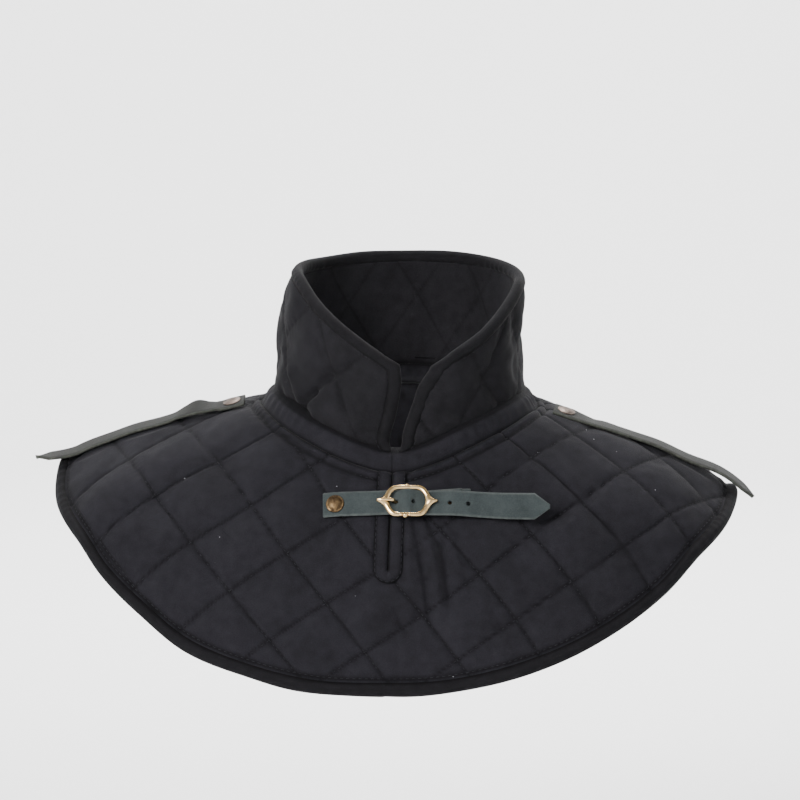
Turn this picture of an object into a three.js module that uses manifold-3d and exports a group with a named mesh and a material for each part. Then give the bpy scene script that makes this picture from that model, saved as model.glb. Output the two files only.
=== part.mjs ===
// Padded arming collar: a quilted stand-up collar on a round shoulder mantle, with three leather straps.
// Millimetres, +Z up, the front towards -Y. The origin is the middle of the neck, level with the
// collar's foot at the sides. Bearings are degrees from the front, positive towards +X.

import * as THREE from "three";
import { mergeVertices } from "three/addons/utils/BufferGeometryUtils.js";
import Module from "manifold-3d";

const wasm = await Module();
wasm.setup();

// Cloth walls, bindings and the gap that neighbouring pieces keep.
const pieceGap = 0.3;
const wallThickness = 7;
const bindingWidth = 8;
const bindingThickness = 9;
const bandHeight = 16;
const bandThickness = 10.5;

// Rim, foot and hem, as ovals seen from above. The squareness fills out an oval between its axes.
const rim = { halfWidth: 82, frontDepth: 76, backDepth: 76, centreX: 8.5, centreY: -10, squareness: 0 };
const foot = { halfWidth: 92.5, frontDepth: 83, backDepth: 83, centreX: 0, centreY: -3, squareness: 0 };
const hem = { halfWidth: 257, frontDepth: 149, backDepth: 134, centreX: -3.5, centreY: 0, squareness: 0.07 };
const footFall = 74;

// Height of the rim, and the collar's fall below level there. The rim dips to the open throat, which
// stands a little to the right. Columns: bearing, height, fall.
const rimRows = [
  [-180, 106, 80],
  [-150, 105, 78],
  [-120, 102, 68],
  [-90, 98, 56],
  [-68, 91, 58],
  [-48, 74, 66],
  [-27, 55, 74],
  [-13, 42, 78],
  [-1, 31, 80],
  [15, 30, 80],
  [27, 41, 82],
  [43, 54, 86],
  [62, 72, 90],
  [80, 86, 92],
  [92, 91, 92],
  [120, 99, 86],
  [150, 104, 82],
];

// Height of the collar's foot. Columns: bearing, height.
const footRows = [
  [-180, 17],
  [-130, 12],
  [-90, 5],
  [-70, 2],
  [-50, -7],
  [-32, -17],
  [-12, -29],
  [2, -34],
  [14, -30],
  [32, -18],
  [50, -8],
  [70, 0],
  [90, 2],
  [130, 11],
];

// The mantle's fall below level at the neck and at the hem, in degrees, and the hem's height.
// Columns: bearing, fall at the neck, fall at the hem, height of the hem.
const mantleRows = [
  [-180, 38, 72, -150],
  [-155, 35, 71, -142],
  [-132, 29, 62, -114],
  [-120, 24, 52, -93],
  [-106, 18, 38, -70],
  [-90, 14, 28, -55],
  [-74, 17, 38, -76],
  [-57, 25, 54, -101],
  [-49, 31, 61, -124],
  [-40, 38, 67, -149],
  [-31, 44, 72, -174],
  [-20, 49, 76, -191],
  [-10, 52, 78, -200],
  [0, 52, 79, -201],
  [10, 52, 78, -199],
  [19, 49, 76, -191],
  [29, 45, 72, -176],
  [38, 40, 67, -157],
  [48, 33, 60, -132],
  [58, 27, 53, -105],
  [73, 20, 44, -86],
  [90, 18, 38, -73],
  [106, 20, 44, -84],
  [120, 25, 54, -98],
  [132, 30, 62, -116],
  [155, 35, 71, -142],
];

// The open throat. Station 0 is the rim and station 1 the foot.
// Columns: station, bearing of the left edge, bearing of the right edge.
const throatRows = [
  [0, -0.7, 15],
  [0.2, 0.6, 9.2],
  [0.4, 0.6, 7.8],
  [0.6, 0.4, 6.6],
  [0.78, -0.4, 5.6],
  [0.89, -0.4, 5.5],
  [0.95, 0.8, 4.6],
  [1, 2, 2.8],
];

// The slit below the throat, seen from the front.
const slitMiddle = 2.6;
const slitHalfWidth = 1.2;
const slitBottom = 0.475;

const radians = THREE.MathUtils.degToRad;
const { lerp } = THREE.MathUtils;

// Reads a table at a place between its rows, along a smooth curve through every column.
function readTable(rows, place, period = 0) {
  const count = rows.length;
  const rowAt = (index) => {
    if (period === 0) {
      return rows[Math.min(Math.max(index, 0), count - 1)];
    }
    const turns = Math.floor(index / count);
    const row = [...rows[index - turns * count]];
    row[0] += turns * period;
    return row;
  };
  let at = place;
  if (period > 0) {
    at -= period * Math.floor((place - rows[0][0]) / period);
  }
  let index = 0;
  while (index < count - 1 && rows[index + 1][0] <= at) {
    index += 1;
  }
  if (period === 0) {
    index = Math.min(index, count - 2);
  }
  const before = rowAt(index - 1);
  const from = rowAt(index);
  const to = rowAt(index + 1);
  const after = rowAt(index + 2);
  const span = to[0] - from[0];
  const share = (at - from[0]) / span;
  const square = share * share;
  const cube = square * share;
  return from.map((start, column) => {
    const end = to[column];
    const slopeIn = ((end - before[column]) * span) / (to[0] - before[0]);
    const slopeOut = ((after[column] - start) * span) / (after[0] - from[0]);
    const keepStart = 2 * cube - 3 * square + 1;
    const keepEnd = 3 * square - 2 * cube;
    const bend = (cube - 2 * square + share) * slopeIn + (cube - square) * slopeOut;
    return keepStart * start + keepEnd * end + bend;
  });
}

function ringPoint(ring, bearing, height) {
  const angle = radians(bearing);
  const depth = Math.cos(angle) > 0 ? ring.frontDepth : ring.backDepth;
  const fullness = 1 + ring.squareness * Math.sin(2 * angle) ** 2;
  return new THREE.Vector3(
    ring.centreX + ring.halfWidth * fullness * Math.sin(angle),
    ring.centreY - depth * fullness * Math.cos(angle),
    height,
  );
}

// The mantle's rounding between neck and hem, and its length over the straight way between them.
const mantleFullness = 0.35;
const mantleSlack = 1.03;

// The section through rim, foot, band and mantle at one bearing, as three curves that join smoothly.
function sectionAt(bearing) {
  const [, rimHeight, rimFall] = readTable(rimRows, bearing, 360);
  const [, footHeight] = readTable(footRows, bearing, 360);
  const [, neckFall, hemFall, hemHeight] = readTable(mantleRows, bearing, 360);
  const rimPoint = ringPoint(rim, bearing, rimHeight);
  const footPoint = ringPoint(foot, bearing, footHeight);
  const hemPoint = ringPoint(hem, bearing, hemHeight);
  const outward = new THREE.Vector3().subVectors(hemPoint, footPoint).setZ(0).normalize();
  const falling = (degrees) => new THREE.Vector3()
    .addScaledVector(outward, Math.cos(radians(degrees)))
    .setZ(-Math.sin(radians(degrees)));
  const middleFall = (footFall + neckFall) / 2;
  const topPoint = footPoint.clone().addScaledVector(falling(middleFall), bandHeight);
  const collarReach = rimPoint.distanceTo(footPoint) / 3;
  const mantleReach = topPoint.distanceTo(hemPoint) * mantleFullness;
  const curve = (start, startFall, startReach, end, endFall, endReach) => new THREE.CubicBezierCurve3(
    start,
    start.clone().addScaledVector(startFall, startReach),
    end.clone().addScaledVector(endFall, -endReach),
    end,
  );
  return {
    collar: curve(rimPoint, falling(rimFall), collarReach, footPoint, falling(footFall), collarReach),
    band: curve(footPoint, falling(footFall), bandHeight / 3, topPoint, falling(neckFall), bandHeight / 3),
    mantle: curve(topPoint, falling(neckFall), mantleReach, hemPoint, falling(hemFall), mantleReach),
    collarLength: rimPoint.distanceTo(footPoint),
    mantleLength: topPoint.distanceTo(hemPoint) * mantleSlack,
  };
}

// Stations run 0 to 1 down the collar, 1 to 2 down the band and 2 to 3 down the mantle.
const bandStation = 1;
const mantleTop = 2;
const hemStation = 3;

// The middle of the cloth at a bearing and a station.
function skinAt(bearing, station) {
  const section = sectionAt(bearing);
  if (station < bandStation) {
    return section.collar.getPoint(station);
  }
  if (station < mantleTop) {
    return section.band.getPoint(station - bandStation);
  }
  return section.mantle.getPoint(station - mantleTop);
}

function normalAt(bearing, station) {
  const turn = 0.2;
  const step = 0.004;
  const around = skinAt(bearing + turn, station).sub(skinAt(bearing - turn, station));
  const down = skinAt(bearing, station + step).sub(skinAt(bearing, station - step));
  return down.cross(around).normalize();
}

function clothPoint(bearing, station, offset) {
  return skinAt(bearing, station).addScaledVector(normalAt(bearing, station), offset);
}

const weldDistance = 0.001;
const smallestArea = 1e-9;

// A solid through rings of points. The rings are joined in order, and the last meets the first if closed.
// An open row of rings is capped by strips that pair each ring's points from both ends.
function loft(rings, closed) {
  const corners = [];
  const size = rings[0].length;
  const face = (a, b, c) => {
    const areaVector = b.clone().sub(a).cross(c.clone().sub(a));
    if (areaVector.length() > smallestArea) {
      corners.push(a.x, a.y, a.z, b.x, b.y, b.z, c.x, c.y, c.z);
    }
  };
  const spans = closed ? rings.length : rings.length - 1;
  for (let index = 0; index < spans; index += 1) {
    const here = rings[index];
    const next = rings[(index + 1) % rings.length];
    for (let side = 0; side < size; side += 1) {
      const other = (side + 1) % size;
      face(here[side], next[side], next[other]);
      face(here[side], next[other], here[other]);
    }
  }
  if (!closed) {
    const first = rings[0];
    const last = rings[rings.length - 1];
    for (let side = 0; side < size / 2 - 1; side += 1) {
      const far = size - 1 - side;
      const strip = [side, side + 1, far - 1, far];
      if (strip.every((corner) => first[corner].distanceTo(last[corner]) < weldDistance)) {
        continue;
      }
      face(first[strip[0]], first[strip[1]], first[strip[2]]);
      face(first[strip[0]], first[strip[2]], first[strip[3]]);
      face(last[strip[0]], last[strip[2]], last[strip[1]]);
      face(last[strip[0]], last[strip[3]], last[strip[2]]);
    }
  }
  return solidFrom(corners);
}

// A closed mesh with shared corners, its faces pointing out.
function solidFrom(corners) {
  const loose = new THREE.BufferGeometry();
  loose.setAttribute("position", new THREE.Float32BufferAttribute(corners, 3));
  const merged = mergeVertices(loose, weldDistance);
  const place = merged.getAttribute("position");
  const point = (index) => new THREE.Vector3().fromBufferAttribute(place, index);
  const kept = [];
  let volume = 0;
  for (let start = 0; start < merged.index.count; start += 3) {
    const [a, b, c] = [0, 1, 2].map((step) => merged.index.getX(start + step));
    if (a !== b && b !== c && c !== a) {
      kept.push(a, b, c);
      volume += point(a).dot(point(b).cross(point(c)));
    }
  }
  if (volume < 0) {
    kept.reverse();
  }
  merged.setIndex(kept);
  return merged;
}

const object = new THREE.Group();

function addPiece(name, geometry, finish) {
  const mesh = new THREE.Mesh(geometry, new THREE.MeshStandardMaterial(finish));
  mesh.name = name;
  object.add(mesh);
  return mesh;
}

const cloth = { color: 0x2f2e33, roughness: 0.92, metalness: 0 };
const bindingCloth = { color: 0x26242a, roughness: 0.9, metalness: 0 };

// The ring of points round a wall's section: down the outer face, and back up the inner face.
function wallRing(places, outerOffset, innerOffset) {
  const outer = places.map((place) => clothPoint(...place, outerOffset(...place)));
  const inner = places.map((place) => clothPoint(...place, innerOffset));
  return [...outer, ...inner.reverse()];
}

// Mantle: one padded wall from the band to the hem's binding, notched at the front for the slit's binding.
const mantleColumns = 80;
const notchHalfWidth = slitHalfWidth + bindingWidth;

function mantleStation(bearing, share) {
  const length = sectionAt(bearing).mantleLength;
  const top = mantleTop + pieceGap / length;
  const bottom = hemStation - (bindingWidth + pieceGap) / length;
  return top + share * (bottom - top);
}

// The bearing at which the cloth stands at a distance across from the middle of the front.
function bearingAcross(across, station) {
  const turn = 0.5;
  let bearing = across / 2;
  for (let pass = 0; pass < 6; pass += 1) {
    const here = skinAt(bearing, station).x;
    const reach = (skinAt(bearing + turn, station).x - here) / turn;
    bearing += (across - here) / reach;
  }
  return bearing;
}

const mantleUsable = sectionAt(0).mantleLength - bindingWidth - 2 * pieceGap;
const notchTurns = [0, 30, 60, 90];
const rowsBeside = 4;
const rowsBelow = 6;
const notchReach = slitBottom + notchHalfWidth / mantleUsable;
const mantleShares = [
  ...Array.from({ length: rowsBeside }, (_, row) => (slitBottom * row) / rowsBeside),
  ...notchTurns.map((turn) => lerp(slitBottom, notchReach, Math.sin(radians(turn)))),
  ...Array.from({ length: rowsBelow }, (_, row) => lerp(notchReach, 1, (row + 1) / rowsBelow)),
];

function notchWidthAt(share) {
  const below = Math.max((share - slitBottom) * mantleUsable, 0);
  return Math.sqrt(Math.max(notchHalfWidth ** 2 - below ** 2, 0));
}

// The quilt is stitched as a square grid on cloth that lies flat, as part of a ring round the neck. The
// front and the back carry the same grid and meet over the shoulders. Grid lines of each of the two ways
// stand where the count is whole. Columns: count at the centre, change per millimetre in x, and in y.
const flatNeckRadius = 125;
const stitchWays = [
  [-0.276, 0.01299, -0.01661],
  [5.674, 0.01532, 0.01334],
];
const quiltDepth = 1.6;
const flatStep = 3;
const flatStation = mantleTop + 0.5;

// The turn of the flat ring that each bearing of one side spans, in steps from the front to the shoulder.
function flatTurns(side) {
  const turns = [0];
  for (let bearing = 0; bearing < 90; bearing += flatStep) {
    const here = side * bearing;
    const across = skinAt(here + side * flatStep, flatStation).sub(skinAt(here, flatStation));
    const down = skinAt(here, flatStation + 0.1).sub(skinAt(here, flatStation - 0.1)).normalize();
    const width = across.addScaledVector(down, -across.dot(down)).length();
    const radius = flatNeckRadius + sectionAt(here).mantleLength / 2;
    turns.push(turns[turns.length - 1] + (side * width) / radius);
  }
  return turns;
}
const turnsLeft = flatTurns(-1);
const turnsRight = flatTurns(1);

// How far the stitching draws the outer face in, from nothing inside a square to quiltDepth on a line.
function quiltRelief(bearing, station) {
  const turned = bearing - 360 * Math.round(bearing / 360);
  const ahead = Math.min(Math.abs(turned), 180 - Math.abs(turned));
  const turns = turned < 0 ? turnsLeft : turnsRight;
  const step = Math.min(Math.floor(ahead / flatStep), turns.length - 2);
  const turn = lerp(turns[step], turns[step + 1], ahead / flatStep - step);
  const radius = flatNeckRadius + sectionAt(bearing).mantleLength * (station - mantleTop);
  const [first, second] = stitchWays.map(([start, inX, inY]) => {
    const count = start + radius * (inX * Math.sin(turn) - inY * Math.cos(turn));
    return Math.abs(Math.sin(Math.PI * count));
  });
  return -quiltDepth * (1 - Math.sqrt(first * second));
}

// Folds and swellings of the cloth, from one place to another. A swelling has a depth below zero.
// Columns: bearing and station of one end, bearing and station of the other, half width, depth.
const foldRows = [
  [8, 2.33, 9, 2.64, 7, 2],
  [12, 2.28, 13.5, 2.56, 6, 1.5],
  [-32, 0.52, -44, 0.88, 9, 3.2],
  [-62, 0.94, -43, 0.97, 8, 2.5],
  [-25, 0.55, -19, 0.86, 18, -2.2],
  [44, 0.5, 57, 0.92, 10, 2.2],
];
const folds = foldRows.map(([fromBearing, fromStation, toBearing, toStation, halfWidth, depth]) => ({
  line: new THREE.Line3(skinAt(fromBearing, fromStation), skinAt(toBearing, toStation)),
  halfWidth,
  depth,
}));

function foldRelief(bearing, station) {
  const point = skinAt(bearing, station);
  const nearest = new THREE.Vector3();
  return folds.reduce((relief, { line, halfWidth, depth }) => {
    const away = line.closestPointToPoint(point, true, nearest).distanceTo(point) / halfWidth;
    return relief - depth * Math.exp(-away * away);
  }, 0);
}

const mantleRings = [];
for (let column = 0; column <= mantleColumns; column += 1) {
  const places = mantleShares.map((share) => {
    const station = mantleStation(0, share);
    const width = notchWidthAt(share);
    const start = bearingAcross(slitMiddle + width, station);
    const end = bearingAcross(slitMiddle - width, station) + 360;
    const bearing = start + ((end - start) * column) / mantleColumns;
    return [bearing, mantleStation(bearing, share)];
  });
  const outerFace = (bearing, station) => {
    return wallThickness / 2 + quiltRelief(bearing, station) + foldRelief(bearing, station);
  };
  mantleRings.push(wallRing(places, outerFace, -wallThickness / 2));
}
addPiece("mantle", loft(mantleRings, false), cloth);

// A sewn edge in cross-section. Columns: share of the way to the free edge, share of the half thickness.
const edgeProfile = [
  [0, 0.8],
  [0.3, 1],
  [0.72, 0.86],
  [1, 0.3],
  [1, -0.3],
  [0.72, -0.86],
  [0.3, -1],
  [0, -0.8],
];

// One ring of a rolled edge, between two places on the cloth.
function edgeRing(inner, free, thickness, profile = edgeProfile) {
  return profile.map(([share, height]) => {
    const bearing = lerp(inner[0], free[0], share);
    const station = lerp(inner[1], free[1], share);
    return clothPoint(bearing, station, (height * thickness) / 2);
  });
}

// Hem binding: a closed ring round the mantle's hem.
const hemStart = bearingAcross(slitMiddle, hemStation);
const hemRings = [];
for (let column = 0; column < mantleColumns; column += 1) {
  const bearing = hemStart + (360 * column) / mantleColumns;
  const width = bindingWidth / sectionAt(bearing).mantleLength;
  hemRings.push(edgeRing([bearing, hemStation - width], [bearing, hemStation], bindingThickness));
}
addPiece("hem_binding", loft(hemRings, true), bindingCloth);

// Slit binding: down one side of the slit, round its end and up the other side.
const slitRings = [];
const slitEndTurns = [0, 30, 60, 90, 120, 150, 180];
function slitPlace(side, across, down) {
  const share = down / mantleUsable;
  const station = mantleStation(0, share);
  return [bearingAcross(slitMiddle + side * across, station), station];
}
const slitStraight = slitBottom * mantleUsable;
const slitSideSteps = 5;
const slitOuter = notchHalfWidth - pieceGap;
const slitThickness = 7.6;
for (let step = 0; step < slitSideSteps; step += 1) {
  const down = (slitStraight * step) / slitSideSteps;
  const free = slitPlace(1, slitHalfWidth, down);
  slitRings.push(edgeRing(slitPlace(1, slitOuter, down), free, slitThickness));
}
for (const turn of slitEndTurns) {
  const across = Math.cos(radians(turn));
  const below = Math.sin(radians(turn));
  slitRings.push(edgeRing(
    slitPlace(1, slitOuter * across, slitStraight + slitOuter * below),
    slitPlace(1, slitHalfWidth * across, slitStraight + slitHalfWidth * below),
    slitThickness,
  ));
}
for (let step = slitSideSteps - 1; step >= 0; step -= 1) {
  const down = (slitStraight * step) / slitSideSteps;
  const free = slitPlace(-1, slitHalfWidth, down);
  slitRings.push(edgeRing(slitPlace(-1, slitOuter, down), free, slitThickness));
}
addPiece("slit_binding", loft(slitRings, false), bindingCloth);

// Neck band: a full round fold of cloth between collar and mantle, open at the slit.
const bandProfile = [
  [0, 0.7],
  [0.2, 0.95],
  [0.5, 1.05],
  [0.8, 0.95],
  [1, 0.7],
  [1, -0.7],
  [0.8, -0.8],
  [0.2, -0.8],
  [0, -0.7],
];
const bandColumns = 48;
const bandTop = bandStation + pieceGap / bandHeight;
const bandRings = [];
const bandStart = bearingAcross(slitMiddle + slitHalfWidth, mantleTop);
const bandEnd = bearingAcross(slitMiddle - slitHalfWidth, mantleTop) + 360;
for (let column = 0; column <= bandColumns; column += 1) {
  const bearing = bandStart + ((bandEnd - bandStart) * column) / bandColumns;
  bandRings.push(edgeRing([bearing, bandTop], [bearing, mantleTop], bandThickness, bandProfile));
}
addPiece("neck_band", loft(bandRings, false), cloth);

// Collar: a padded wall from its binding down to the band, open at the throat.
const shortestCollar = 45;
const collarFoot = bandStation - pieceGap / shortestCollar;

function throatEdges(station) {
  const [, left, right] = readTable(throatRows, station);
  return { left, right };
}

// The turn, in degrees, that covers a distance across the front of the collar.
function collarTurn(distance, station) {
  const probe = 5;
  return (distance * probe) / skinAt(probe, station).distanceTo(skinAt(0, station));
}

function collarTop(bearing, distance) {
  return distance / sectionAt(bearing).collarLength;
}

const collarColumns = 42;
const collarRows = 7;
const collarInset = bindingWidth + pieceGap;
const collarRings = [];
for (let column = 0; column <= collarColumns; column += 1) {
  const places = [];
  for (let row = 0; row <= collarRows; row += 1) {
    const edges = throatEdges((row / collarRows) * collarFoot);
    const margin = collarTurn(collarInset, row / collarRows);
    const start = edges.right + margin;
    const end = edges.left - margin + 360;
    const bearing = start + ((end - start) * column) / collarColumns;
    const top = collarTop(bearing, collarInset);
    places.push([bearing, top + ((collarFoot - top) * row) / collarRows]);
  }
  const outerFace = (bearing, station) => wallThickness / 2 + foldRelief(bearing, station);
  collarRings.push(wallRing(places, outerFace, -wallThickness / 2));
}
addPiece("collar", loft(collarRings, false), cloth);

// Collar binding: up the right edge of the throat, round the rim and down the left edge.
const throatSteps = 7;
const collarBindingRings = [];

function throatRing(side, row) {
  const share = row / throatSteps;
  const edges = throatEdges(share * collarFoot);
  const free = side > 0 ? edges.right : edges.left;
  const inner = free + side * collarTurn(bindingWidth, share);
  const innerTop = collarTop(inner, bindingWidth);
  const innerStation = innerTop + (collarFoot - innerTop) * share;
  return edgeRing([inner, innerStation], [free, collarFoot * share], bindingThickness);
}

for (let row = throatSteps; row >= 0; row -= 1) {
  collarBindingRings.push(throatRing(1, row));
}
const rimStart = throatEdges(0).right + collarTurn(bindingWidth, 0);
const rimEnd = throatEdges(0).left - collarTurn(bindingWidth, 0) + 360;
for (let column = 1; column < collarColumns; column += 1) {
  const bearing = rimStart + ((rimEnd - rimStart) * column) / collarColumns;
  const inner = [bearing, collarTop(bearing, bindingWidth)];
  collarBindingRings.push(edgeRing(inner, [bearing, 0], bindingThickness));
}
for (let row = 0; row <= throatSteps; row += 1) {
  collarBindingRings.push(throatRing(-1, row));
}
addPiece("collar_binding", loft(collarBindingRings, false), bindingCloth);

const leather = { color: 0x52605f, roughness: 0.85, metalness: 0 };
const darkLeather = { color: 0x33352e, roughness: 0.8, metalness: 0 };
const brass = { color: 0xb09a72, roughness: 0.3, metalness: 1 };
const agedBrass = { color: 0x7a6446, roughness: 0.5, metalness: 0.9 };

// The place on the mantle whose outer face has the two coordinates that are asked for.
function findPlace(start, target, axes) {
  const turn = 0.5;
  const step = 0.01;
  const offset = wallThickness / 2;
  const [first, second] = axes;
  let [bearing, station] = start;
  for (let pass = 0; pass < 10; pass += 1) {
    const here = clothPoint(bearing, station, offset);
    const turned = clothPoint(bearing + turn, station, offset).sub(here).divideScalar(turn);
    const lowered = clothPoint(bearing, station + step, offset).sub(here).divideScalar(step);
    const lack = [target[0] - here[first], target[1] - here[second]];
    const scale = turned[first] * lowered[second] - turned[second] * lowered[first];
    bearing += (lack[0] * lowered[second] - lack[1] * lowered[first]) / scale;
    station += (lack[1] * turned[first] - lack[0] * turned[second]) / scale;
  }
  return { point: clothPoint(bearing, station, offset), normal: normalAt(bearing, station) };
}

// A strap's rings: a rectangle at each stop, square to the strap's run, with a blunt point past the last.
// A stop holds the point on the strap's middle and the way its face looks.
function strapRings(stops, width, thickness, tipLength, tipWidth) {
  const rings = [];
  const addRing = (point, normal, tangent, halfWidth) => {
    const side = new THREE.Vector3().crossVectors(normal, tangent).normalize();
    const out = new THREE.Vector3().crossVectors(tangent, side).normalize();
    const corner = (sideStep, outStep) => point.clone()
      .addScaledVector(side, sideStep * halfWidth)
      .addScaledVector(out, (outStep * thickness) / 2);
    rings.push([corner(-1, 1), corner(1, 1), corner(1, -1), corner(-1, -1)]);
  };
  stops.forEach(({ point, normal }, index) => {
    const before = stops[Math.max(index - 1, 0)].point;
    const after = stops[Math.min(index + 1, stops.length - 1)].point;
    const endRun = index >= stops.length - 2;
    const from = endRun ? stops[stops.length - 2].point : before;
    const tangent = after.clone().sub(from).normalize();
    addRing(point, normal, tangent, width / 2);
    if (index === stops.length - 1) {
      addRing(point.clone().addScaledVector(tangent, tipLength), normal, tangent, tipWidth / 2);
    }
  });
  return rings;
}

// Closing strap. Columns: x, height, lift of its middle over the cloth, share turned upright.
const frontStrapWidth = 19;
const frontStrapThickness = 2;
const strapTipLength = 11;
const strapTipWidth = 3;
const strapRows = [
  [-46, -70.2, 1.5, 0],
  [-34, -69, 1.5, 0],
  [-20, -68.3, 1.6, 0],
  [-8, -68, 2.4, 0],
  [3, -68, 4, 0],
  [8.5, -68, 4.8, 0],
  [15, -68, 7.9, 0],
  [21.5, -68.1, 5.15, 0],
  [27, -68.3, 4.5, 0],
  [38, -68.7, 5.2, 0.05],
  [49, -69.2, 6.4, 0.15],
  [62, -70.2, 6.6, 0.3],
  [78, -71.6, 7.4, 0.5],
  [93, -73, 9.5, 0.75],
  [105, -74.2, 12, 0.9],
];
const straightAhead = new THREE.Vector3(0, -Math.cos(radians(6)), Math.sin(radians(6)));

function frontPlace(across, height) {
  return findPlace([across / 2, mantleTop + 0.2], [across, height], ["x", "z"]);
}

function frontStrapStop(across) {
  const [, height, lift, upright] = readTable(strapRows, across);
  const { point, normal } = frontPlace(across, height);
  return {
    point: point.addScaledVector(normal, lift),
    normal: normal.clone().lerp(straightAhead, upright).normalize(),
  };
}

const frontStops = strapRows.flatMap(([across], index) => {
  if (index === 0) {
    return [frontStrapStop(across)];
  }
  return [frontStrapStop((strapRows[index - 1][0] + across) / 2), frontStrapStop(across)];
});
const plainFrontStrap = loft(
  strapRings(frontStops, frontStrapWidth, frontStrapThickness, strapTipLength, strapTipWidth),
  false,
);

// Joins and cuts of closed meshes.
function toSolid(geometry) {
  const bare = geometry.clone();
  bare.deleteAttribute("normal");
  bare.deleteAttribute("uv");
  const merged = mergeVertices(bare, weldDistance);
  return new wasm.Manifold(new wasm.Mesh({
    numProp: 3,
    vertProperties: Float32Array.from(merged.getAttribute("position").array),
    triVerts: Uint32Array.from(merged.index.array),
  }));
}

function fromSolid(solid) {
  const mesh = solid.getMesh();
  const geometry = new THREE.BufferGeometry();
  geometry.setAttribute("position", new THREE.Float32BufferAttribute(mesh.vertProperties, 3));
  geometry.setIndex(Array.from(mesh.triVerts));
  return geometry;
}

// A rod that runs through a strap or the cloth where it faces.
function rodThrough({ point, normal }, radius, length, stretch = 1) {
  const rod = new THREE.CylinderGeometry(radius, radius, length, 12);
  rod.scale(stretch, 1, 1);
  const across = new THREE.Vector3().crossVectors(new THREE.Vector3(0, 0, 1), normal).normalize();
  const up = new THREE.Vector3().crossVectors(normal, across);
  const turn = new THREE.Matrix4().makeBasis(across, normal, up.negate());
  rod.applyMatrix4(turn.setPosition(point));
  return rod;
}

const buckleX = 15;
const buckleHeight = -68;
const holePitch = 13;
const holeRadius = 1.5;
const prongHoleX = buckleX - 8.6;
const prongHoleRadius = 2;
const prongHoleStretch = 1.6;
const punchLength = 12;
let punched = toSolid(plainFrontStrap).subtract(
  toSolid(rodThrough(frontStrapStop(prongHoleX), prongHoleRadius, punchLength, prongHoleStretch)),
);
for (let hole = 1; hole <= 4; hole += 1) {
  const place = frontStrapStop(prongHoleX + hole * holePitch);
  punched = punched.subtract(toSolid(rodThrough(place, holeRadius, punchLength)));
}
addPiece("front_strap", fromSolid(punched), leather);

// Buckle, drawn flat: x along the strap, y up, z out from the cloth at its middle.
const buckleSeat = frontPlace(buckleX, buckleHeight);
const buckleAcross = new THREE.Vector3(0, 0, 1).cross(buckleSeat.normal).normalize();
const buckleUp = new THREE.Vector3().crossVectors(buckleSeat.normal, buckleAcross);
const buckleFrameTurn = new THREE.Matrix4()
  .makeBasis(buckleAcross, buckleUp, buckleSeat.normal)
  .setPosition(buckleSeat.point);

const barRadius = 1.2;
const barLevel = 3.4;
const frameUnderside = 6.2;
const frameThickness = 2.4;
const frameBevel = 0.6;
const knobRadius = 1.7;

// A quarter of the frame's outline and of its window, from the pointed end to the flat top. Columns: x, y.
const frameQuarter = [
  [22.4, 0],
  [18, 3.6],
  [15.6, 7.4],
  [12.4, 10.6],
  [8.6, 12],
];
const windowQuarter = [
  [12, 0],
  [11.4, 4.2],
  [9.4, 7.6],
  [6.4, 9.7],
];
const frameTop = frameQuarter[4][1];
const windowTop = windowQuarter[3][1];
const postOffset = (frameTop + windowTop) / 2;

function mirrored(quarter) {
  const upper = [...quarter, ...quarter.map(([x, y]) => [-x, y]).reverse()];
  const lower = upper.filter(([, y]) => y > 0).map(([x, y]) => [x, -y]).reverse();
  return [...upper, ...lower].map(([x, y]) => new THREE.Vector2(x, y));
}

const frameShape = new THREE.Shape(mirrored(frameQuarter));
frameShape.holes.push(new THREE.Path(mirrored(windowQuarter)));
const frameRing = new THREE.ExtrudeGeometry(frameShape, {
  depth: frameThickness - 2 * frameBevel,
  bevelThickness: frameBevel,
  bevelSize: frameBevel,
  bevelOffset: -frameBevel,
  bevelSegments: 1,
});
frameRing.translate(0, 0, frameUnderside + frameBevel);

// The bar drops below the frame on two short posts, so that the strap lies over it and under both ends.
const bar = new THREE.CylinderGeometry(barRadius, barRadius, 2 * postOffset, 8).translate(0, 0, barLevel);
let castFrame = toSolid(frameRing).add(toSolid(bar));
for (const side of [-1, 1]) {
  const postHeight = frameUnderside + frameThickness / 2 - barLevel;
  const post = new THREE.CylinderGeometry(barRadius, barRadius, postHeight, 8)
    .rotateX(Math.PI / 2)
    .translate(0, side * postOffset, barLevel + postHeight / 2);
  const elbow = new THREE.SphereGeometry(barRadius, 8, 6).translate(0, side * postOffset, barLevel);
  const knob = new THREE.SphereGeometry(knobRadius, 10, 7)
    .translate(0, side * frameTop, frameUnderside + frameThickness / 2);
  castFrame = castFrame.add(toSolid(post)).add(toSolid(elbow)).add(toSolid(knob));
}
addPiece("buckle_frame", fromSolid(castFrame).applyMatrix4(buckleFrameTurn), brass);

// Prong: a flattened rod that loops round the bar, rises through the strap and rests on the frame's end.
const prongHalfWidth = 1.25;
const prongHalfThickness = 0.8;
const prongLoopRadius = barRadius + pieceGap + prongHalfThickness;
const loopTurns = [140, 110, 75, 40, 0, -40, -75];
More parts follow.
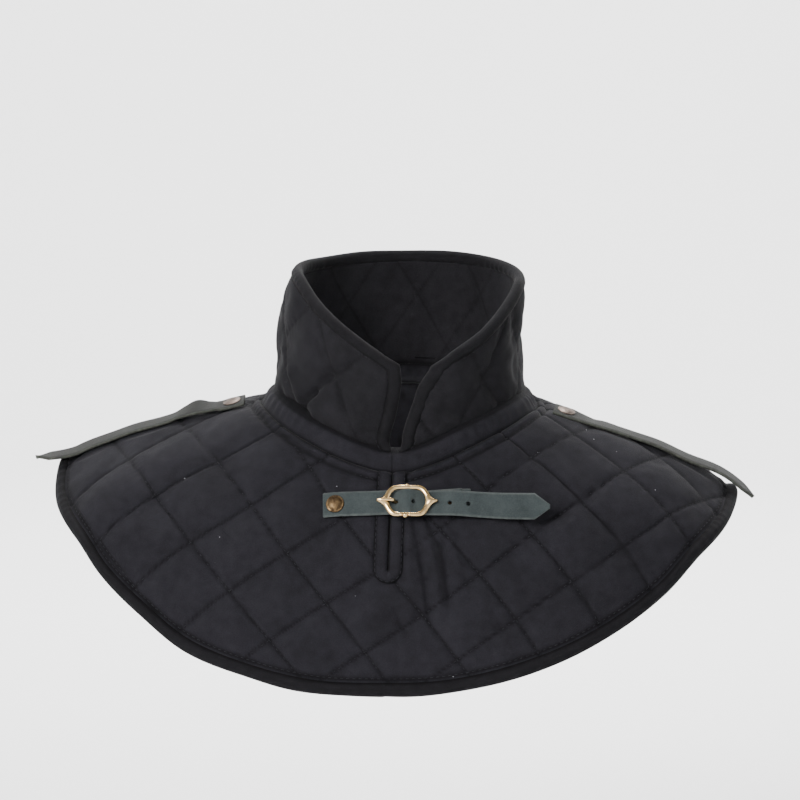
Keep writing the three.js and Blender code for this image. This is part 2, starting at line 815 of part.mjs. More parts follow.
// Columns: x, level.
const prongLegRows = [
  [-1, 1.25],
  [-4.6, 1.9],
  [-7.1, 3.2],
  [-8.6, 5],
  [-9.8, 8.5],
  [-12, 10],
  [-17, 9.9],
  [-21.2, 9.6],
];
const prongPath = [
  ...loopTurns.map((turn) => [
    prongLoopRadius * Math.cos(radians(turn)),
    barLevel + prongLoopRadius * Math.sin(radians(turn)),
  ]),
  ...prongLegRows,
];
const prongSides = 6;
const prongRings = prongPath.map(([x, level], index) => {
  const before = prongPath[Math.max(index - 1, 0)];
  const after = prongPath[Math.min(index + 1, prongPath.length - 1)];
  const run = new THREE.Vector2(after[0] - before[0], after[1] - before[1]).normalize();
  const taper = index === prongPath.length - 1 ? 0.55 : 1;
  return Array.from({ length: prongSides }, (_, side) => {
    const turn = (2 * Math.PI * (side + 0.5)) / prongSides;
    const out = prongHalfThickness * taper * Math.sin(turn);
    return new THREE.Vector3(x - run.y * out, prongHalfWidth * taper * Math.cos(turn), level + run.x * out)
      .applyMatrix4(buckleFrameTurn);
  });
});
addPiece("buckle_prong", loft(prongRings, false), brass);

// Buckle tab: one strip from the cloth round the bar and back over itself, slotted for the prong.
const tabWidth = 18;
const tabThickness = 1.2;
const tabWrapRadius = 2.25;
const tabSkew = 0.06;
const tabUnderLift = 0.95;
const tabOverLift = 2.5;
const tabSlot = { length: 8.5, width: 3.4, height: 9 };
const tabUnderEnd = 46;
const tabOverEnd = 40;

function tabStop(along, lift, facing) {
  const { point, normal } = frontPlace(buckleX + along, buckleHeight + tabSkew * along);
  return { point: point.addScaledVector(normal, lift), normal: normal.clone().multiplyScalar(facing) };
}

function wrapStop(turn) {
  const out = new THREE.Vector3(Math.cos(radians(turn)), 0, Math.sin(radians(turn)));
  const point = new THREE.Vector3(0, 0, barLevel).addScaledVector(out, tabWrapRadius);
  return {
    point: point.applyMatrix4(buckleFrameTurn),
    normal: out.transformDirection(buckleFrameTurn),
  };
}

const tabStops = [
  ...[tabUnderEnd, 38, 30, 22, 14, 7].map((along) => tabStop(along, tabUnderLift, -1)),
  ...[-90, -130, -180, -230, -270, -300].map(wrapStop),
  tabStop(4.8, 3.3, 1),
  tabStop(9, 2.6, 1),
  ...[15, 22, 30, tabOverEnd].map((along) => tabStop(along, tabOverLift, 1)),
];
const tabStrip = loft(strapRings(tabStops, tabWidth, tabThickness, 0, tabWidth), false);
const slotBox = new THREE.BoxGeometry(tabSlot.length, tabSlot.width, tabSlot.height)
  .translate(0.5, 0, barLevel)
  .applyMatrix4(buckleFrameTurn);
addPiece("buckle_tab", fromSolid(toSolid(tabStrip).subtract(toSolid(slotBox))), leather);

// Domed rivet heads. Columns: radius and height, as shares of the head's own.
const rivetProfile = [
  [0, 0],
  [0.94, 0],
  [1, 0.2],
  [0.8, 0.66],
  [0.45, 0.93],
  [0, 1],
];

function rivetHead({ point, normal }, lift, radius, height) {
  const profile = rivetProfile.map(([out, up]) => new THREE.Vector2(out * radius, up * height));
  const head = new THREE.LatheGeometry(profile, 12);
  const turn = new THREE.Quaternion().setFromUnitVectors(new THREE.Vector3(0, 1, 0), normal);
  const corners = head.applyQuaternion(turn)
    .translate(...point.clone().addScaledVector(normal, lift).toArray())
    .toNonIndexed()
    .getAttribute("position").array;
  return solidFrom(Array.from(corners));
}

const frontRivetX = -37;
addPiece(
  "front_rivet",
  rivetHead(frontStrapStop(frontRivetX), frontStrapThickness / 2 + pieceGap, 6.6, 2.6),
  agedBrass,
);
addPiece(
  "buckle_tab_rivet",
  rivetHead(tabStop(30, tabOverLift, 1), tabThickness / 2 + pieceGap, 4, 1.1),
  agedBrass,
);

// Shoulder straps. Columns: x, y, lift of the strap's middle over the cloth.
const shoulderStrapWidth = 20;
const shoulderStrapThickness = 2.4;
const shoulderStraps = {
  left: {
    rows: [
      [-116, -12, 1.6],
      [-125, -12, 1.6],
      [-134, -12, 1.8],
      [-143, -12, 4.8],
      [-152, -11.5, 8],
      [-161, -11, 5.4],
      [-170, -10.5, 2.2],
      [-180, -10, 1.7],
      [-200, -9, 1.6],
      [-222, -8, 1.6],
      [-243, -8, 1.8],
    ],
    tip: [-266, -8, -45],
  },
  right: {
    rows: [
      [116, -12, 1.6],
      [125, -12, 1.6],
      [140, -12, 1.7],
      [160, -11, 1.9],
      [180, -10, 2.1],
      [200, -10, 2.4],
      [220, -9, 3],
      [236, -8, 5.5],
    ],
    tip: [257, -8, -67],
  },
};

for (const [side, strap] of Object.entries(shoulderStraps)) {
  const seat = ([across, depth, lift]) => {
    const guess = [Math.sign(across) * 88, mantleTop + 0.1 + Math.abs(across) / 400];
    const { point, normal } = findPlace(guess, [across, depth], ["x", "y"]);
    return { point: point.addScaledVector(normal, lift), normal };
  };
  const stops = strap.rows.map(seat);
  const last = stops[stops.length - 1];
  const tip = new THREE.Vector3(...strap.tip);
  const run = new THREE.Vector3().subVectors(tip, last.point).normalize();
  const flatNormal = last.normal.clone().addScaledVector(run, -last.normal.dot(run)).normalize();
  last.normal = flatNormal;
  stops.push({ point: tip, normal: flatNormal });
  const rings = strapRings(stops, shoulderStrapWidth, shoulderStrapThickness, strapTipLength, strapTipWidth);
  addPiece(`shoulder_strap_${side}`, loft(rings, false), darkLeather);
  addPiece(
    `shoulder_rivet_${side}`,
    rivetHead(stops[1], shoulderStrapThickness / 2 + pieceGap, 7.7, 2.8),
    agedBrass,
  );
}

export default object;
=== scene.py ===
import math

import bmesh
import bpy
import numpy as np
from mathutils import Matrix, Vector


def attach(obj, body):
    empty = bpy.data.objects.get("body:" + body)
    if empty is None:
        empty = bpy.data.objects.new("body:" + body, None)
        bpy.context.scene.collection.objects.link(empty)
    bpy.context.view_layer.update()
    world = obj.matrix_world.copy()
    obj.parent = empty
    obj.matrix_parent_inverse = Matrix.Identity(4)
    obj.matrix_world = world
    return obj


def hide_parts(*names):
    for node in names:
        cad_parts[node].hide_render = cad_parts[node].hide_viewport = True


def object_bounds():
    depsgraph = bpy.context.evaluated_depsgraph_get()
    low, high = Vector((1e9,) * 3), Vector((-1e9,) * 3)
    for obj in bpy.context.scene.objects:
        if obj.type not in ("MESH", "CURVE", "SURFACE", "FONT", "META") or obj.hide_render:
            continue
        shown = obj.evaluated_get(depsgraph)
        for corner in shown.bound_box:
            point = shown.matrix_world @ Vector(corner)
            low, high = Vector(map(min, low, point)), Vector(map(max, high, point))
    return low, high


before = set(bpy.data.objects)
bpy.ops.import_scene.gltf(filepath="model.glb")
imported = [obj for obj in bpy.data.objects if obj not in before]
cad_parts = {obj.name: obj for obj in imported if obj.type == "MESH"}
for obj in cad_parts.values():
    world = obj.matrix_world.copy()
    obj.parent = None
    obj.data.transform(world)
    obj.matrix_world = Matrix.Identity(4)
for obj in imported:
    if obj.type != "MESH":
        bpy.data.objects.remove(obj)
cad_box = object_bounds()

# Mantle. The real one is two layers of black cotton canvas with wadding between them, cut as a ring
# with a slit at the front and quilted in a square grid while it lies flat. It lies over the shoulders.
# Table rows are in millimetres and degrees. Bearings run from the front, positive towards +X.
mm = 0.001
wall = 7
binding_width = 8
piece_gap = 0.3
band_height = 16
foot_fall = 74
mantle_fullness = 0.35
mantle_slack = 1.03
mantle_top = 2
hem_station = 3
slit_middle = 2.6
slit_half_width = 1.2
slit_bottom = 0.475

# Columns: half width, front depth, back depth, centre x, centre y, squareness.
rim = (82, 76, 76, 8.5, -10, 0)
foot = (92.5, 83, 83, 0, -3, 0)
hem = (257, 149, 134, -3.5, 0, 0.07)

# Columns: bearing, height of the rim, the collar's fall there.
rim_rows = [
    [-180, 106, 80], [-150, 105, 78], [-120, 102, 68], [-90, 98, 56], [-68, 91, 58], [-48, 74, 66],
    [-27, 55, 74], [-13, 42, 78], [-1, 31, 80], [15, 30, 80], [27, 41, 82], [43, 54, 86],
    [62, 72, 90], [80, 86, 92], [92, 91, 92], [120, 99, 86], [150, 104, 82],
]

# Columns: bearing, height of the collar's foot.
foot_rows = [
    [-180, 17], [-130, 12], [-90, 5], [-70, 2], [-50, -7], [-32, -17], [-12, -29],
    [2, -34], [14, -30], [32, -18], [50, -8], [70, 0], [90, 2], [130, 11],
]

# Columns: bearing, the mantle's fall at the neck, its fall at the hem, height of the hem.
mantle_rows = [
    [-180, 38, 72, -150], [-155, 35, 71, -142], [-132, 29, 62, -114], [-120, 24, 52, -93],
    [-106, 18, 38, -70], [-90, 14, 28, -55], [-74, 17, 38, -76], [-57, 25, 54, -101],
    [-49, 31, 61, -124], [-40, 38, 67, -149], [-31, 44, 72, -174], [-20, 49, 76, -191],
    [-10, 52, 78, -200], [0, 52, 79, -201], [10, 52, 78, -199], [19, 49, 76, -191],
    [29, 45, 72, -176], [38, 40, 67, -157], [48, 33, 60, -132], [58, 27, 53, -105],
    [73, 20, 44, -86], [90, 18, 38, -73], [106, 20, 44, -84], [120, 25, 54, -98],
    [132, 30, 62, -116], [155, 35, 71, -142],
]


def read_rows(rows, places, period=0):
    """Every column of a table at many places, along a smooth curve."""
    table = np.array(rows, float)
    places = np.asarray(places, float)
    if period:
        shift = np.zeros(table.shape[1])
        shift[0] = period
        places = table[0, 0] + (places - table[0, 0]) % period
        table = np.vstack([table[-1:] - shift, table, table[:2] + shift])
    else:
        table = np.vstack([table[:1], table, table[-1:]])
    index = np.clip(np.searchsorted(table[:, 0], places, side="right") - 1, 1, len(table) - 3)
    before, start, end, after = (table[index + step] for step in (-1, 0, 1, 2))
    span = (end - start)[..., :1]
    share = (places[..., None] - start[..., :1]) / span
    slope_in = (end - before) * span / (end - before)[..., :1]
    slope_out = (after - start) * span / (after - start)[..., :1]
    square, cube = share**2, share**3
    keep = (2 * cube - 3 * square + 1) * start + (3 * square - 2 * cube) * end
    return keep + (cube - 2 * square + share) * slope_in + (cube - square) * slope_out


def unit(vectors):
    return vectors / np.linalg.norm(vectors, axis=-1, keepdims=True)


def lengths(points):
    """How far along a row of points each one stands."""
    return np.concatenate([[0], np.cumsum(np.linalg.norm(np.diff(points, axis=0), axis=-1))])


def from_front(bearing):
    """The same bearing, between -180 and 180."""
    return (bearing + 180) % 360 - 180


def oval(ring, bearing, height):
    half_width, front, back, centre_x, centre_y, squareness = ring
    angle = np.radians(bearing)
    depth = np.where(np.cos(angle) > 0, front, back)
    fullness = 1 + squareness * np.sin(2 * angle) ** 2
    x = centre_x + half_width * fullness * np.sin(angle)
    y = centre_y - depth * fullness * np.cos(angle)
    return np.stack([x, y, height + 0 * x], -1)


def sections(bearing):
    """The curves of collar, band and mantle at many bearings, and the collar's and mantle's lengths."""
    rim_height, rim_fall = np.moveaxis(read_rows(rim_rows, bearing, 360), -1, 0)[1:]
    foot_height = read_rows(foot_rows, bearing, 360)[..., 1]
    neck_fall, hem_fall, hem_height = np.moveaxis(read_rows(mantle_rows, bearing, 360), -1, 0)[1:]
    rim_point = oval(rim, bearing, rim_height)
    foot_point = oval(foot, bearing, foot_height)
    hem_point = oval(hem, bearing, hem_height)
    outward = unit((hem_point - foot_point) * (1, 1, 0))

    def falling(degrees):
        angle = np.radians(np.asarray(degrees, float))[..., None]
        return outward * np.cos(angle) - np.sin(angle) * np.array([0, 0, 1])

    top_point = foot_point + falling((foot_fall + neck_fall) / 2) * band_height
    collar_length = np.linalg.norm(rim_point - foot_point, axis=-1)
    mantle_span = np.linalg.norm(top_point - hem_point, axis=-1)

    def curve(start, start_fall, end, end_fall, reach):
        reach = np.asarray(reach)[..., None]
        return np.stack([start, start + falling(start_fall) * reach, end - falling(end_fall) * reach, end])

    curves = np.stack([
        curve(rim_point, rim_fall, foot_point, foot_fall, collar_length / 3),
        curve(foot_point, foot_fall, top_point, neck_fall, band_height / 3),
        curve(top_point, neck_fall, hem_point, hem_fall, mantle_span * mantle_fullness),
    ])
    return curves, collar_length, mantle_span * mantle_slack


def mantle_length(bearing):
    return sections(bearing)[2]


def skin(bearing, station):
    """The middle of the cloth: stations 0 to 1 on the collar, 1 to 2 on the band, 2 to 3 on the mantle."""
    bearing, station = np.broadcast_arrays(np.asarray(bearing, float), np.asarray(station, float))
    part = np.clip(np.floor(station), 0, 2).astype(int)
    share = (station - part)[..., None]
    a, b, c, d = np.take_along_axis(sections(bearing)[0], part[None, None, ..., None], 0)[0]
    left = 1 - share
    return left**3 * a + 3 * left**2 * share * b + 3 * left * share**2 * c + share**3 * d


def facing(bearing, station):
    turn, step = 0.2, 0.004
    around = skin(bearing + turn, station) - skin(bearing - turn, station)
    down = skin(bearing, station + step) - skin(bearing, station - step)
    return unit(np.cross(down, around))


def drape(points):
    """Slow waves of the worn cloth, in millimetres."""
    x, y, z = np.moveaxis(points, -1, 0)
    slow = np.sin(x / 21 + y / 33 + 0.7) * np.cos(z / 27 - x / 60)
    quick = np.sin(x / 11 - z / 16 + 2.1) * np.cos(y / 13 + x / 29)
    return 0.45 * slow + 0.2 * quick


def cloth(bearing, station, offset):
    """Points of the cloth in metres, at a distance in millimetres out from its middle."""
    points = skin(bearing, station)
    rise = np.asarray(offset) + drape(points)
    return (points + facing(bearing, station) * rise[..., None]) * mm


def bearing_across(across, station):
    """The bearing at which the cloth stands at a distance across from the middle of the front."""
    turn = 0.5
    bearing = np.asarray(across, float) / 2 + 0 * np.asarray(station, float)
    for _ in range(6):
        here = skin(bearing, station)[..., 0]
        bearing = bearing + (across - here) * turn / (skin(bearing + turn, station)[..., 0] - here)
    return bearing


# The two ways of quilting are counted over the flat cloth, and a seam is where a count is whole. Columns:
# what 1, x, y, x x, x y and y y add to the count, x and y being in tenths of a metre.
flat_neck_radius = 125
flat_station = mantle_top + 0.5
shoulder_bearing = 90
quilt_ways = np.array([
    [0.1759, 1.3073, -1.0619, 0.0124, 0.0098, 0.1705],
    [5.7279, 1.7042, 1.4059, 0.0335, 0.0968, 0.0154],
])
turn_bearings = np.arange(0, shoulder_bearing + 1, 3)


def flat_turns(side):
    """The turn of the flat cloth from the front to each of the bearings of one side."""
    here = side * turn_bearings[:-1]
    across = skin(side * turn_bearings[1:], flat_station) - skin(here, flat_station)
    down = unit(skin(here, flat_station + 0.1) - skin(here, flat_station - 0.1))
    across -= down * (across * down).sum(-1, keepdims=True)
    radius = flat_neck_radius + mantle_length(here) / 2
    return side * np.concatenate([[0], np.cumsum(np.linalg.norm(across, axis=-1) / radius)])


turns_left = flat_turns(-1)
turns_right = flat_turns(1)


def flat_place(bearing, station):
    """Where a place of the mantle lies on the flat cloth, in millimetres. The back mirrors the front."""
    turned = from_front(bearing)
    ahead = np.minimum(np.abs(turned), 180 - np.abs(turned))
    left = np.interp(ahead, turn_bearings, turns_left)
    right = np.interp(ahead, turn_bearings, turns_right)
    turn = np.where(turned < 0, left, right)
    radius = flat_neck_radius + mantle_length(bearing) * (station - mantle_top)
    return radius * np.sin(turn), -radius * np.cos(turn)


def quilt_counts(x, y):
    """Both counts at places of the flat cloth, and how they change for each millimetre in x and in y."""
    x, y = x / 100, y / 100
    a, b, c, d, e, f = (column.reshape(-1, *[1] * x.ndim) for column in quilt_ways.T)
    counts = a + b * x + c * y + d * x**2 + e * x * y + f * y**2
    return counts, (b + 2 * d * x + e * y) / 100, (c + e * x + 2 * f * y) / 100


def sewn_place(first_count, second_count, behind):
    """The bearing and station of a place of the quilting, from its two counts."""
    x = 0 * second_count
    y = x - 200
    longest_step = 90
    for _ in range(14):
        counts, dx, dy = quilt_counts(x, y)
        lack = np.stack([first_count, second_count]) - counts
        scale = dx[0] * dy[1] - dx[1] * dy[0]
        x = x + np.clip((lack[0] * dy[1] - lack[1] * dy[0]) / scale, -longest_step, longest_step)
        y = y + np.clip((lack[1] * dx[0] - lack[0] * dx[1]) / scale, -longest_step, longest_step)
    turn = np.where(np.abs(lack).max(0) < 0.0001, np.arctan2(x, -y), np.nan)
    left = np.interp(-turn, -turns_left, turn_bearings, right=np.nan)
    right = np.interp(turn, turns_right, turn_bearings, right=np.nan)
    ahead = np.where(turn < 0, left, right)
    bearing = np.where(turn < 0, -1, 1) * (180 - ahead if behind else ahead)
    safe = np.nan_to_num(bearing)
    station = mantle_top + (np.hypot(x, y) - flat_neck_radius) / mantle_length(safe)
    return np.where(np.isnan(ahead), np.nan, bearing), station


def seam_dip(away, narrow, wide, share=0.55):
    """The shape of cloth drawn in by a seam: 1 on the line, falling away over two widths."""
    return share * np.exp(-((away / narrow) ** 2)) + (1 - share) * np.exp(-(np.abs(away / wide) ** 1.5))


def quilted(counts, pitches, depth):
    """The dip of crossing seams, with the small puckers that the thread gathers beside them, and the share
    of seam line, which paints shade into the cloth's colour there.
    """
    pucker_height = 0.26
    dips, pucker = [], 0
    for way in (0, 1):
        away = np.abs(counts[way] - np.round(counts[way])) * pitches[way]
        along = counts[1 - way] * pitches[1 - way]
        strength = 0.5 + 0.5 * np.sin(along / 19 + 3 * np.round(counts[way]))
        ripple = np.sin(along * 1.05 + 1.7 * np.sin(along / 5.3) + 2 * np.round(counts[way]))
        beside = np.exp(-((away / 4.5) ** 2)) * (1 - np.exp(-away))
        pucker = pucker + pucker_height * strength * ripple * beside
        dips.append(np.stack([seam_dip(away, 1.2, 8.5), seam_dip(away, 0.9, 1.9, 0.8)]))
    dip, line = 1 - (1 - dips[0]) * (1 - dips[1])
    return pucker - depth * dip, line


# Folds of the worn mantle, and one swelling between two folds. Columns: bearing and station of one
# end, bearing and station of the other, half width, depth.
mantle_folds = [
    [7.5, 2.26, 8.6, 2.46, 2.1, 2.4],
    [8.6, 2.46, 9.2, 2.68, 2.1, 2.6],
    [10.6, 2.24, 13.2, 2.37, 2, 2.2],
    [13.2, 2.37, 13.1, 2.61, 2, 2.6],
    [9.2, 2.26, 10.9, 2.42, 3.6, -2.2],
    [10.9, 2.42, 11.2, 2.63, 3.8, -2.6],
    [5.8, 2.32, 6.4, 2.62, 3, -1.6],
    [15.6, 2.34, 15.6, 2.58, 3.4, -1.5],
    [15.4, 2.42, 18.6, 2.5, 2.2, 1.2],
    [3, 2.62, 4.8, 2.72, 2.2, 1],
    [-3.2, 2.5, -5, 2.62, 4, 0.8],
    [-16, 2.2, -22, 2.32, 5, 1],
    [20, 2.12, 30, 2.2, 6, 1],
]
fold_middle = (10.4, 2.44)
fold_reach = 19
hem_seam = 4.5
band_seam = 7
quilt_depth = 1.8
inner_depth = 1
shoulder_degree = 2.3
far_away = 1000


def folded(points, rows):
    relief = np.zeros(points.shape[:-1])
    for from_bearing, from_station, to_bearing, to_station, half_width, depth in rows:
        start = skin(from_bearing, from_station)
        run = skin(to_bearing, to_station) - start
        share = np.clip(((points - start) @ run) / (run @ run), 0, 1)
        away = np.linalg.norm(points - start - share[..., None] * run, axis=-1)
        relief -= depth * np.exp(-((away / half_width) ** 2))
    return relief


notch_half_width = slit_half_width + binding_width
mantle_usable = float(mantle_length(0.0)) - binding_width - 2 * piece_gap
notch_share = notch_half_width / mantle_usable


def mantle_station(bearing, share):
    length = mantle_length(bearing)
    top = mantle_top + piece_gap / length
    bottom = hem_station - (binding_width + piece_gap) / length
    return top + share * (bottom - top)


def mantle_face(bearing, station):
    """How far the mantle's outer face stands from the cloth's middle, and how much of it is seam. That share
    of seam paints shade into its colour along the seams, edges and shoulder lines.
    """
    points = skin(bearing, station)
    length = mantle_length(bearing)
    relief, line = quilted(*mantle_counts(bearing, station), quilt_depth)
    from_folds = np.linalg.norm(points - skin(*fold_middle), axis=-1)
    gathered = 0.8 * np.exp(-((from_folds / fold_reach) ** 4))
    relief, line = relief * (1 - gathered), line * (1 - gathered)
    above_hem = (hem_station - station) * length - binding_width
    below_band = (station - mantle_top) * length
    below_slit = np.maximum(below_band - slit_bottom * mantle_usable, 0)
    behind = points[..., 1] > 0
    from_slit = np.hypot(points[..., 0] - slit_middle, below_slit) - notch_half_width + far_away * behind
    shoulder = np.abs(np.abs(from_front(bearing)) - shoulder_bearing) * shoulder_degree
    edge = np.minimum(np.minimum(above_hem, below_band), from_slit)
    at_hem, at_band = above_hem - hem_seam, below_band - band_seam
    # Columns: distance from the seam, its depth, and the two widths over which the cloth falls to it.
    seams = [(edge, 1.3, 1.6, 3.5), (shoulder, 1.1, 1.5, 4), (at_hem, 0.8, 1.2, 2), (at_band, 1.9, 1.3, 2.2)]
    for away, depth, narrow, wide in seams:
        relief = relief - depth * seam_dip(away, narrow, wide)
    relief = relief + 0.9 * np.exp(-(((below_band - 3) / 2.6) ** 2))
    # Painted shade along the edges, the hem and band seams and the shoulder lines.
    lines = [seam_dip(away, 1.2, 2, 0.8) for away in (edge, at_hem, at_band, shoulder)]
    return wall / 2 + relief + folded(points, mantle_folds), np.maximum.reduce([0.8 * line, *lines])


def mantle_counts(bearing, station):
    """Both counts of the quilting, and how far apart in millimetres its seams stand there."""
    counts, across, down = quilt_counts(*flat_place(bearing, station))
    return counts, 1 / np.hypot(across, down)


def placed(name, mesh, smooth=True):
    """Puts a mesh in the scene."""
    if smooth:
        mesh.shade_smooth()
    piece = bpy.data.objects.new(name, mesh)
    bpy.context.scene.collection.objects.link(piece)
    return piece


def strips(count, size, closed=False, round_ring=True):
    """Four-cornered faces between neighbouring rings, each ring having the same number of points."""
    near = np.arange(count if closed else count - 1)[:, None] * size
    far = (near + size) % (count * size)
    side = np.arange(size if round_ring else size - 1)[None]
    other = (side + 1) % size
    return np.stack([near + side, far + side, far + other, near + other], -1).reshape(-1, 4)


def solid(name, points, faces, flat=None, dip=None, weld=True):
    """A closed piece, with its place on the flat cloth and its dip kept at its points. The dip is painted
    shade on the cloth's seams and on the brass, and marks the scuffed edges of the leather.
    """
    mesh = bpy.data.meshes.new(name)
    mesh.from_pydata(points.reshape(-1, 3).tolist(), [], faces)
    layers = (("flat", "FLOAT_VECTOR", "vector", flat), ("dip", "FLOAT", "value", dip))
    for label, kind, field, values in layers:
        if values is not None:
            layer = mesh.attributes.new(label, kind, "POINT")
            layer.data.foreach_set(field, np.ravel(values).astype("f"))
    work = bmesh.new()
    work.from_mesh(mesh)
    if weld:
        bmesh.ops.remove_doubles(work, verts=work.verts, dist=0.00001)
        bmesh.ops.dissolve_degenerate(work, edges=work.edges, dist=0.000001)
    bmesh.ops.recalc_face_normals(work, faces=work.faces)
    work.to_mesh(mesh)
    work.free()
    return placed(name, mesh)


def loft(name, rings, closed=False, flat=None, dip=None, zipper=()):
    """A closed piece through rings of points. The zipper is the list of faces that close its two ends."""
    faces = strips(*rings.shape[:2], closed).tolist()
    return solid(name, rings, faces + list(zipper), flat, dip)


def end_caps(count, size):
    """Strips of faces that close both ends of an open row of flat rings."""
    strips = []
    for start in (0, (count - 1) * size):
        for side in range(size // 2 - 1):
            back = size - 1 - side
            strips.append([start + side, start + side + 1, start + back - 1, start + back])
    return strips


def even_shares(station, count):
    """Shares of the way round at which points stand evenly apart at a station."""
    bearings = np.linspace(0, 360, 1441)
    length = lengths(skin(bearings, station))
    return np.interp(np.linspace(0, length[-1], count + 1), length, bearings / 360)


def mantle_places(shares, columns):
    below = np.maximum(shares - slit_bottom, 0) * mantle_usable
    width = np.sqrt(np.maximum(notch_half_width**2 - below**2, 0))
    station = mantle_station(0.0, shares)
    start = bearing_across(slit_middle + width, station)
    end = bearing_across(slit_middle - width, station) + 360
    bearing = start + (end - start) * even_shares(mantle_top + 0.75, columns)[:, None]
    return bearing, mantle_station(bearing, shares[None])


def graded_shares(beside, corner, below):
    turns = np.sin(np.linspace(0, np.pi / 2, corner))
    return np.concatenate([
        np.linspace(0, slit_bottom, beside)[:-1],
        slit_bottom + notch_share * turns,
        np.linspace(slit_bottom + notch_share, 1, below)[1:],
    ])


def mantle_zipper(outer, inner, columns):
    """Triangles that close the two straight sides of the notch, between rows of unlike numbers."""
    size = len(outer) + len(inner)
    limit = slit_bottom + notch_share - 1e-6
    faces = []
    for start in (0, columns * size):
        near, far = 0, 0
        while outer[near] < limit or inner[far] < limit:
            here, there = start + near, start + size - 1 - far
            if far + 1 >= len(inner) or (outer[near] < limit and outer[near + 1] <= inner[far + 1]):
                near += 1
                faces.append([here, start + near, there])
            else:
                far += 1
                faces.append([here, start + size - 1 - far, there])
    return faces


mantle_columns = 720
outer_shares = graded_shares(beside=34, corner=7, below=42)
inner_shares = graded_shares(beside=9, corner=4, below=12)
outer_bearing, outer_station = mantle_places(outer_shares, mantle_columns)
inner_bearing, inner_station = mantle_places(inner_shares, mantle_columns)
outer_rise, outer_dip = mantle_face(outer_bearing, outer_station)
inner_relief, inner_dip = quilted(*mantle_counts(inner_bearing, inner_station), inner_depth)
inner_face = cloth(inner_bearing, inner_station, -wall / 2 - inner_relief)


def settled(sheet, normals, held, growth, pressure, most):
    """How far the points of a padded face move as its cloth, cut a little full, settles in its seams. Growth
    is the share by which it is full, and the most is in millimetres."""
    steps = 14
    coarse = sheet[::2]
    count, size = coarse.shape[:2]
    index = np.arange(count * size).reshape(count, size)
    shared = np.linalg.norm(coarse[-1] - coarse[0], axis=-1) < 0.00001
    index[-1] = np.where(shared, index[0], index[-1])
    faces = index.ravel()[strips(count, size, round_ring=False)]
    mesh = bpy.data.meshes.new("settling")
    mesh.from_pydata(coarse.reshape(-1, 3).tolist(), [], faces.tolist())
    mesh.update()
    look = np.zeros(3 * len(faces))
    mesh.polygons.foreach_get("normal", look)
    if (look.reshape(-1, 3) * normals[::2][:-1, :-1].reshape(-1, 3)).sum() < 0:
        mesh.flip_normals()
    piece = placed("settling", mesh, smooth=False)
    piece.vertex_groups.new(name="held").add(np.flatnonzero(held[::2]).tolist(), 1.0, "REPLACE")
    change = piece.modifiers.new("settling", "CLOTH")
    change.settings.vertex_group_mass = "held"
    change.settings.shrink_min = -growth
    change.settings.use_pressure = True
    change.settings.uniform_pressure_force = pressure
    change.settings.effector_weights.gravity = 0
    change.collision_settings.use_collision = False
    change.point_cache.frame_end = steps
    for step in range(1, steps + 1):
        bpy.context.scene.frame_set(step)
    done = piece.evaluated_get(bpy.context.evaluated_depsgraph_get()).to_mesh()
    moved = np.zeros(coarse.size)
    done.vertices.foreach_get("co", moved)
    bpy.data.objects.remove(piece)
    bpy.context.scene.frame_set(1)
    move = moved.reshape(coarse.shape) - coarse
    move[-1] = np.where(shared[:, None], move[0], move[-1])
    for _ in range(2):
        before = np.concatenate([np.where(shared[:, None], move[-2], move[0])[None], move[:-1]])
        after = np.concatenate([move[1:], np.where(shared[:, None], move[1], move[-1])[None]])
        move = (before + 2 * move + after) / 4
        move[:, 1:-1] = (move[:, :-2] + 2 * move[:, 1:-1] + move[:, 2:]) / 4
        move = np.where(held[::2, :, None], 0, move)
    length = np.linalg.norm(move, axis=-1, keepdims=True)
    move = move * np.minimum(1, most * mm / np.maximum(length, 1e-9))
    whole = np.zeros(sheet.shape)
    whole[::2] = move
    whole[1::2] = (move[:-1] + move[1:]) / 2
    return whole


def under_straps(points):
    """How far the mantle may stand out in millimetres, being pressed down where the straps lie."""
    x, y, z = np.moveaxis(points, -1, 0)
    half_width, half_length, middle_x, height, shoulder_y, neck_reach = 11, 50, 4, -69, -10, 105
    past_end = np.maximum(np.abs(x - middle_x) - half_length, 0)
    past_side = np.maximum(np.abs(z - height) - half_width, 0)
    front = np.hypot(past_end, past_side) + far_away * (y > 0)
    shoulder = np.maximum(np.abs(y - shoulder_y) - half_width, 0) + far_away * (np.abs(x) < neck_reach)
    return wall / 2 + 0.1 + 0.3 * np.minimum(front, shoulder)


outer_normals = facing(outer_bearing, outer_station)
outer_face = cloth(outer_bearing, outer_station, outer_rise)
outer_held = outer_dip > 0.58
outer_held[:, [0, -1]] = True
outer_move = settled(outer_face, outer_normals, outer_held, growth=0.018, pressure=7, most=1.8)
outer_lift = (outer_move * outer_normals).sum(-1)
outer_face = outer_face + outer_move - outer_normals * outer_lift[..., None]
outer_limit = under_straps(skin(outer_bearing, outer_station))
outer_lift = np.minimum(outer_rise + outer_lift / mm, outer_limit) - outer_rise
outer_face = outer_face + outer_normals * outer_lift[..., None] * mm


def laid_flat(x, y):
    """Places on the flat cloth in metres, for the weave."""
    return np.stack(np.broadcast_arrays(x, y, 0.0), -1) * mm


def there_and_back(outer, inner):
    """Rings that run down the outer face and up the inner one."""
    return np.concatenate([outer, inner[:, ::-1]], 1)


outer_flat = laid_flat(*flat_place(outer_bearing, outer_station))
inner_flat = laid_flat(*flat_place(inner_bearing, inner_station))
mantle = loft(
    "mantle_quilt",
    there_and_back(outer_face, inner_face),
    flat=there_and_back(outer_flat, inner_flat),
    dip=there_and_back(outer_dip, inner_dip),
    zipper=mantle_zipper(outer_shares, inner_shares, mantle_columns),
)


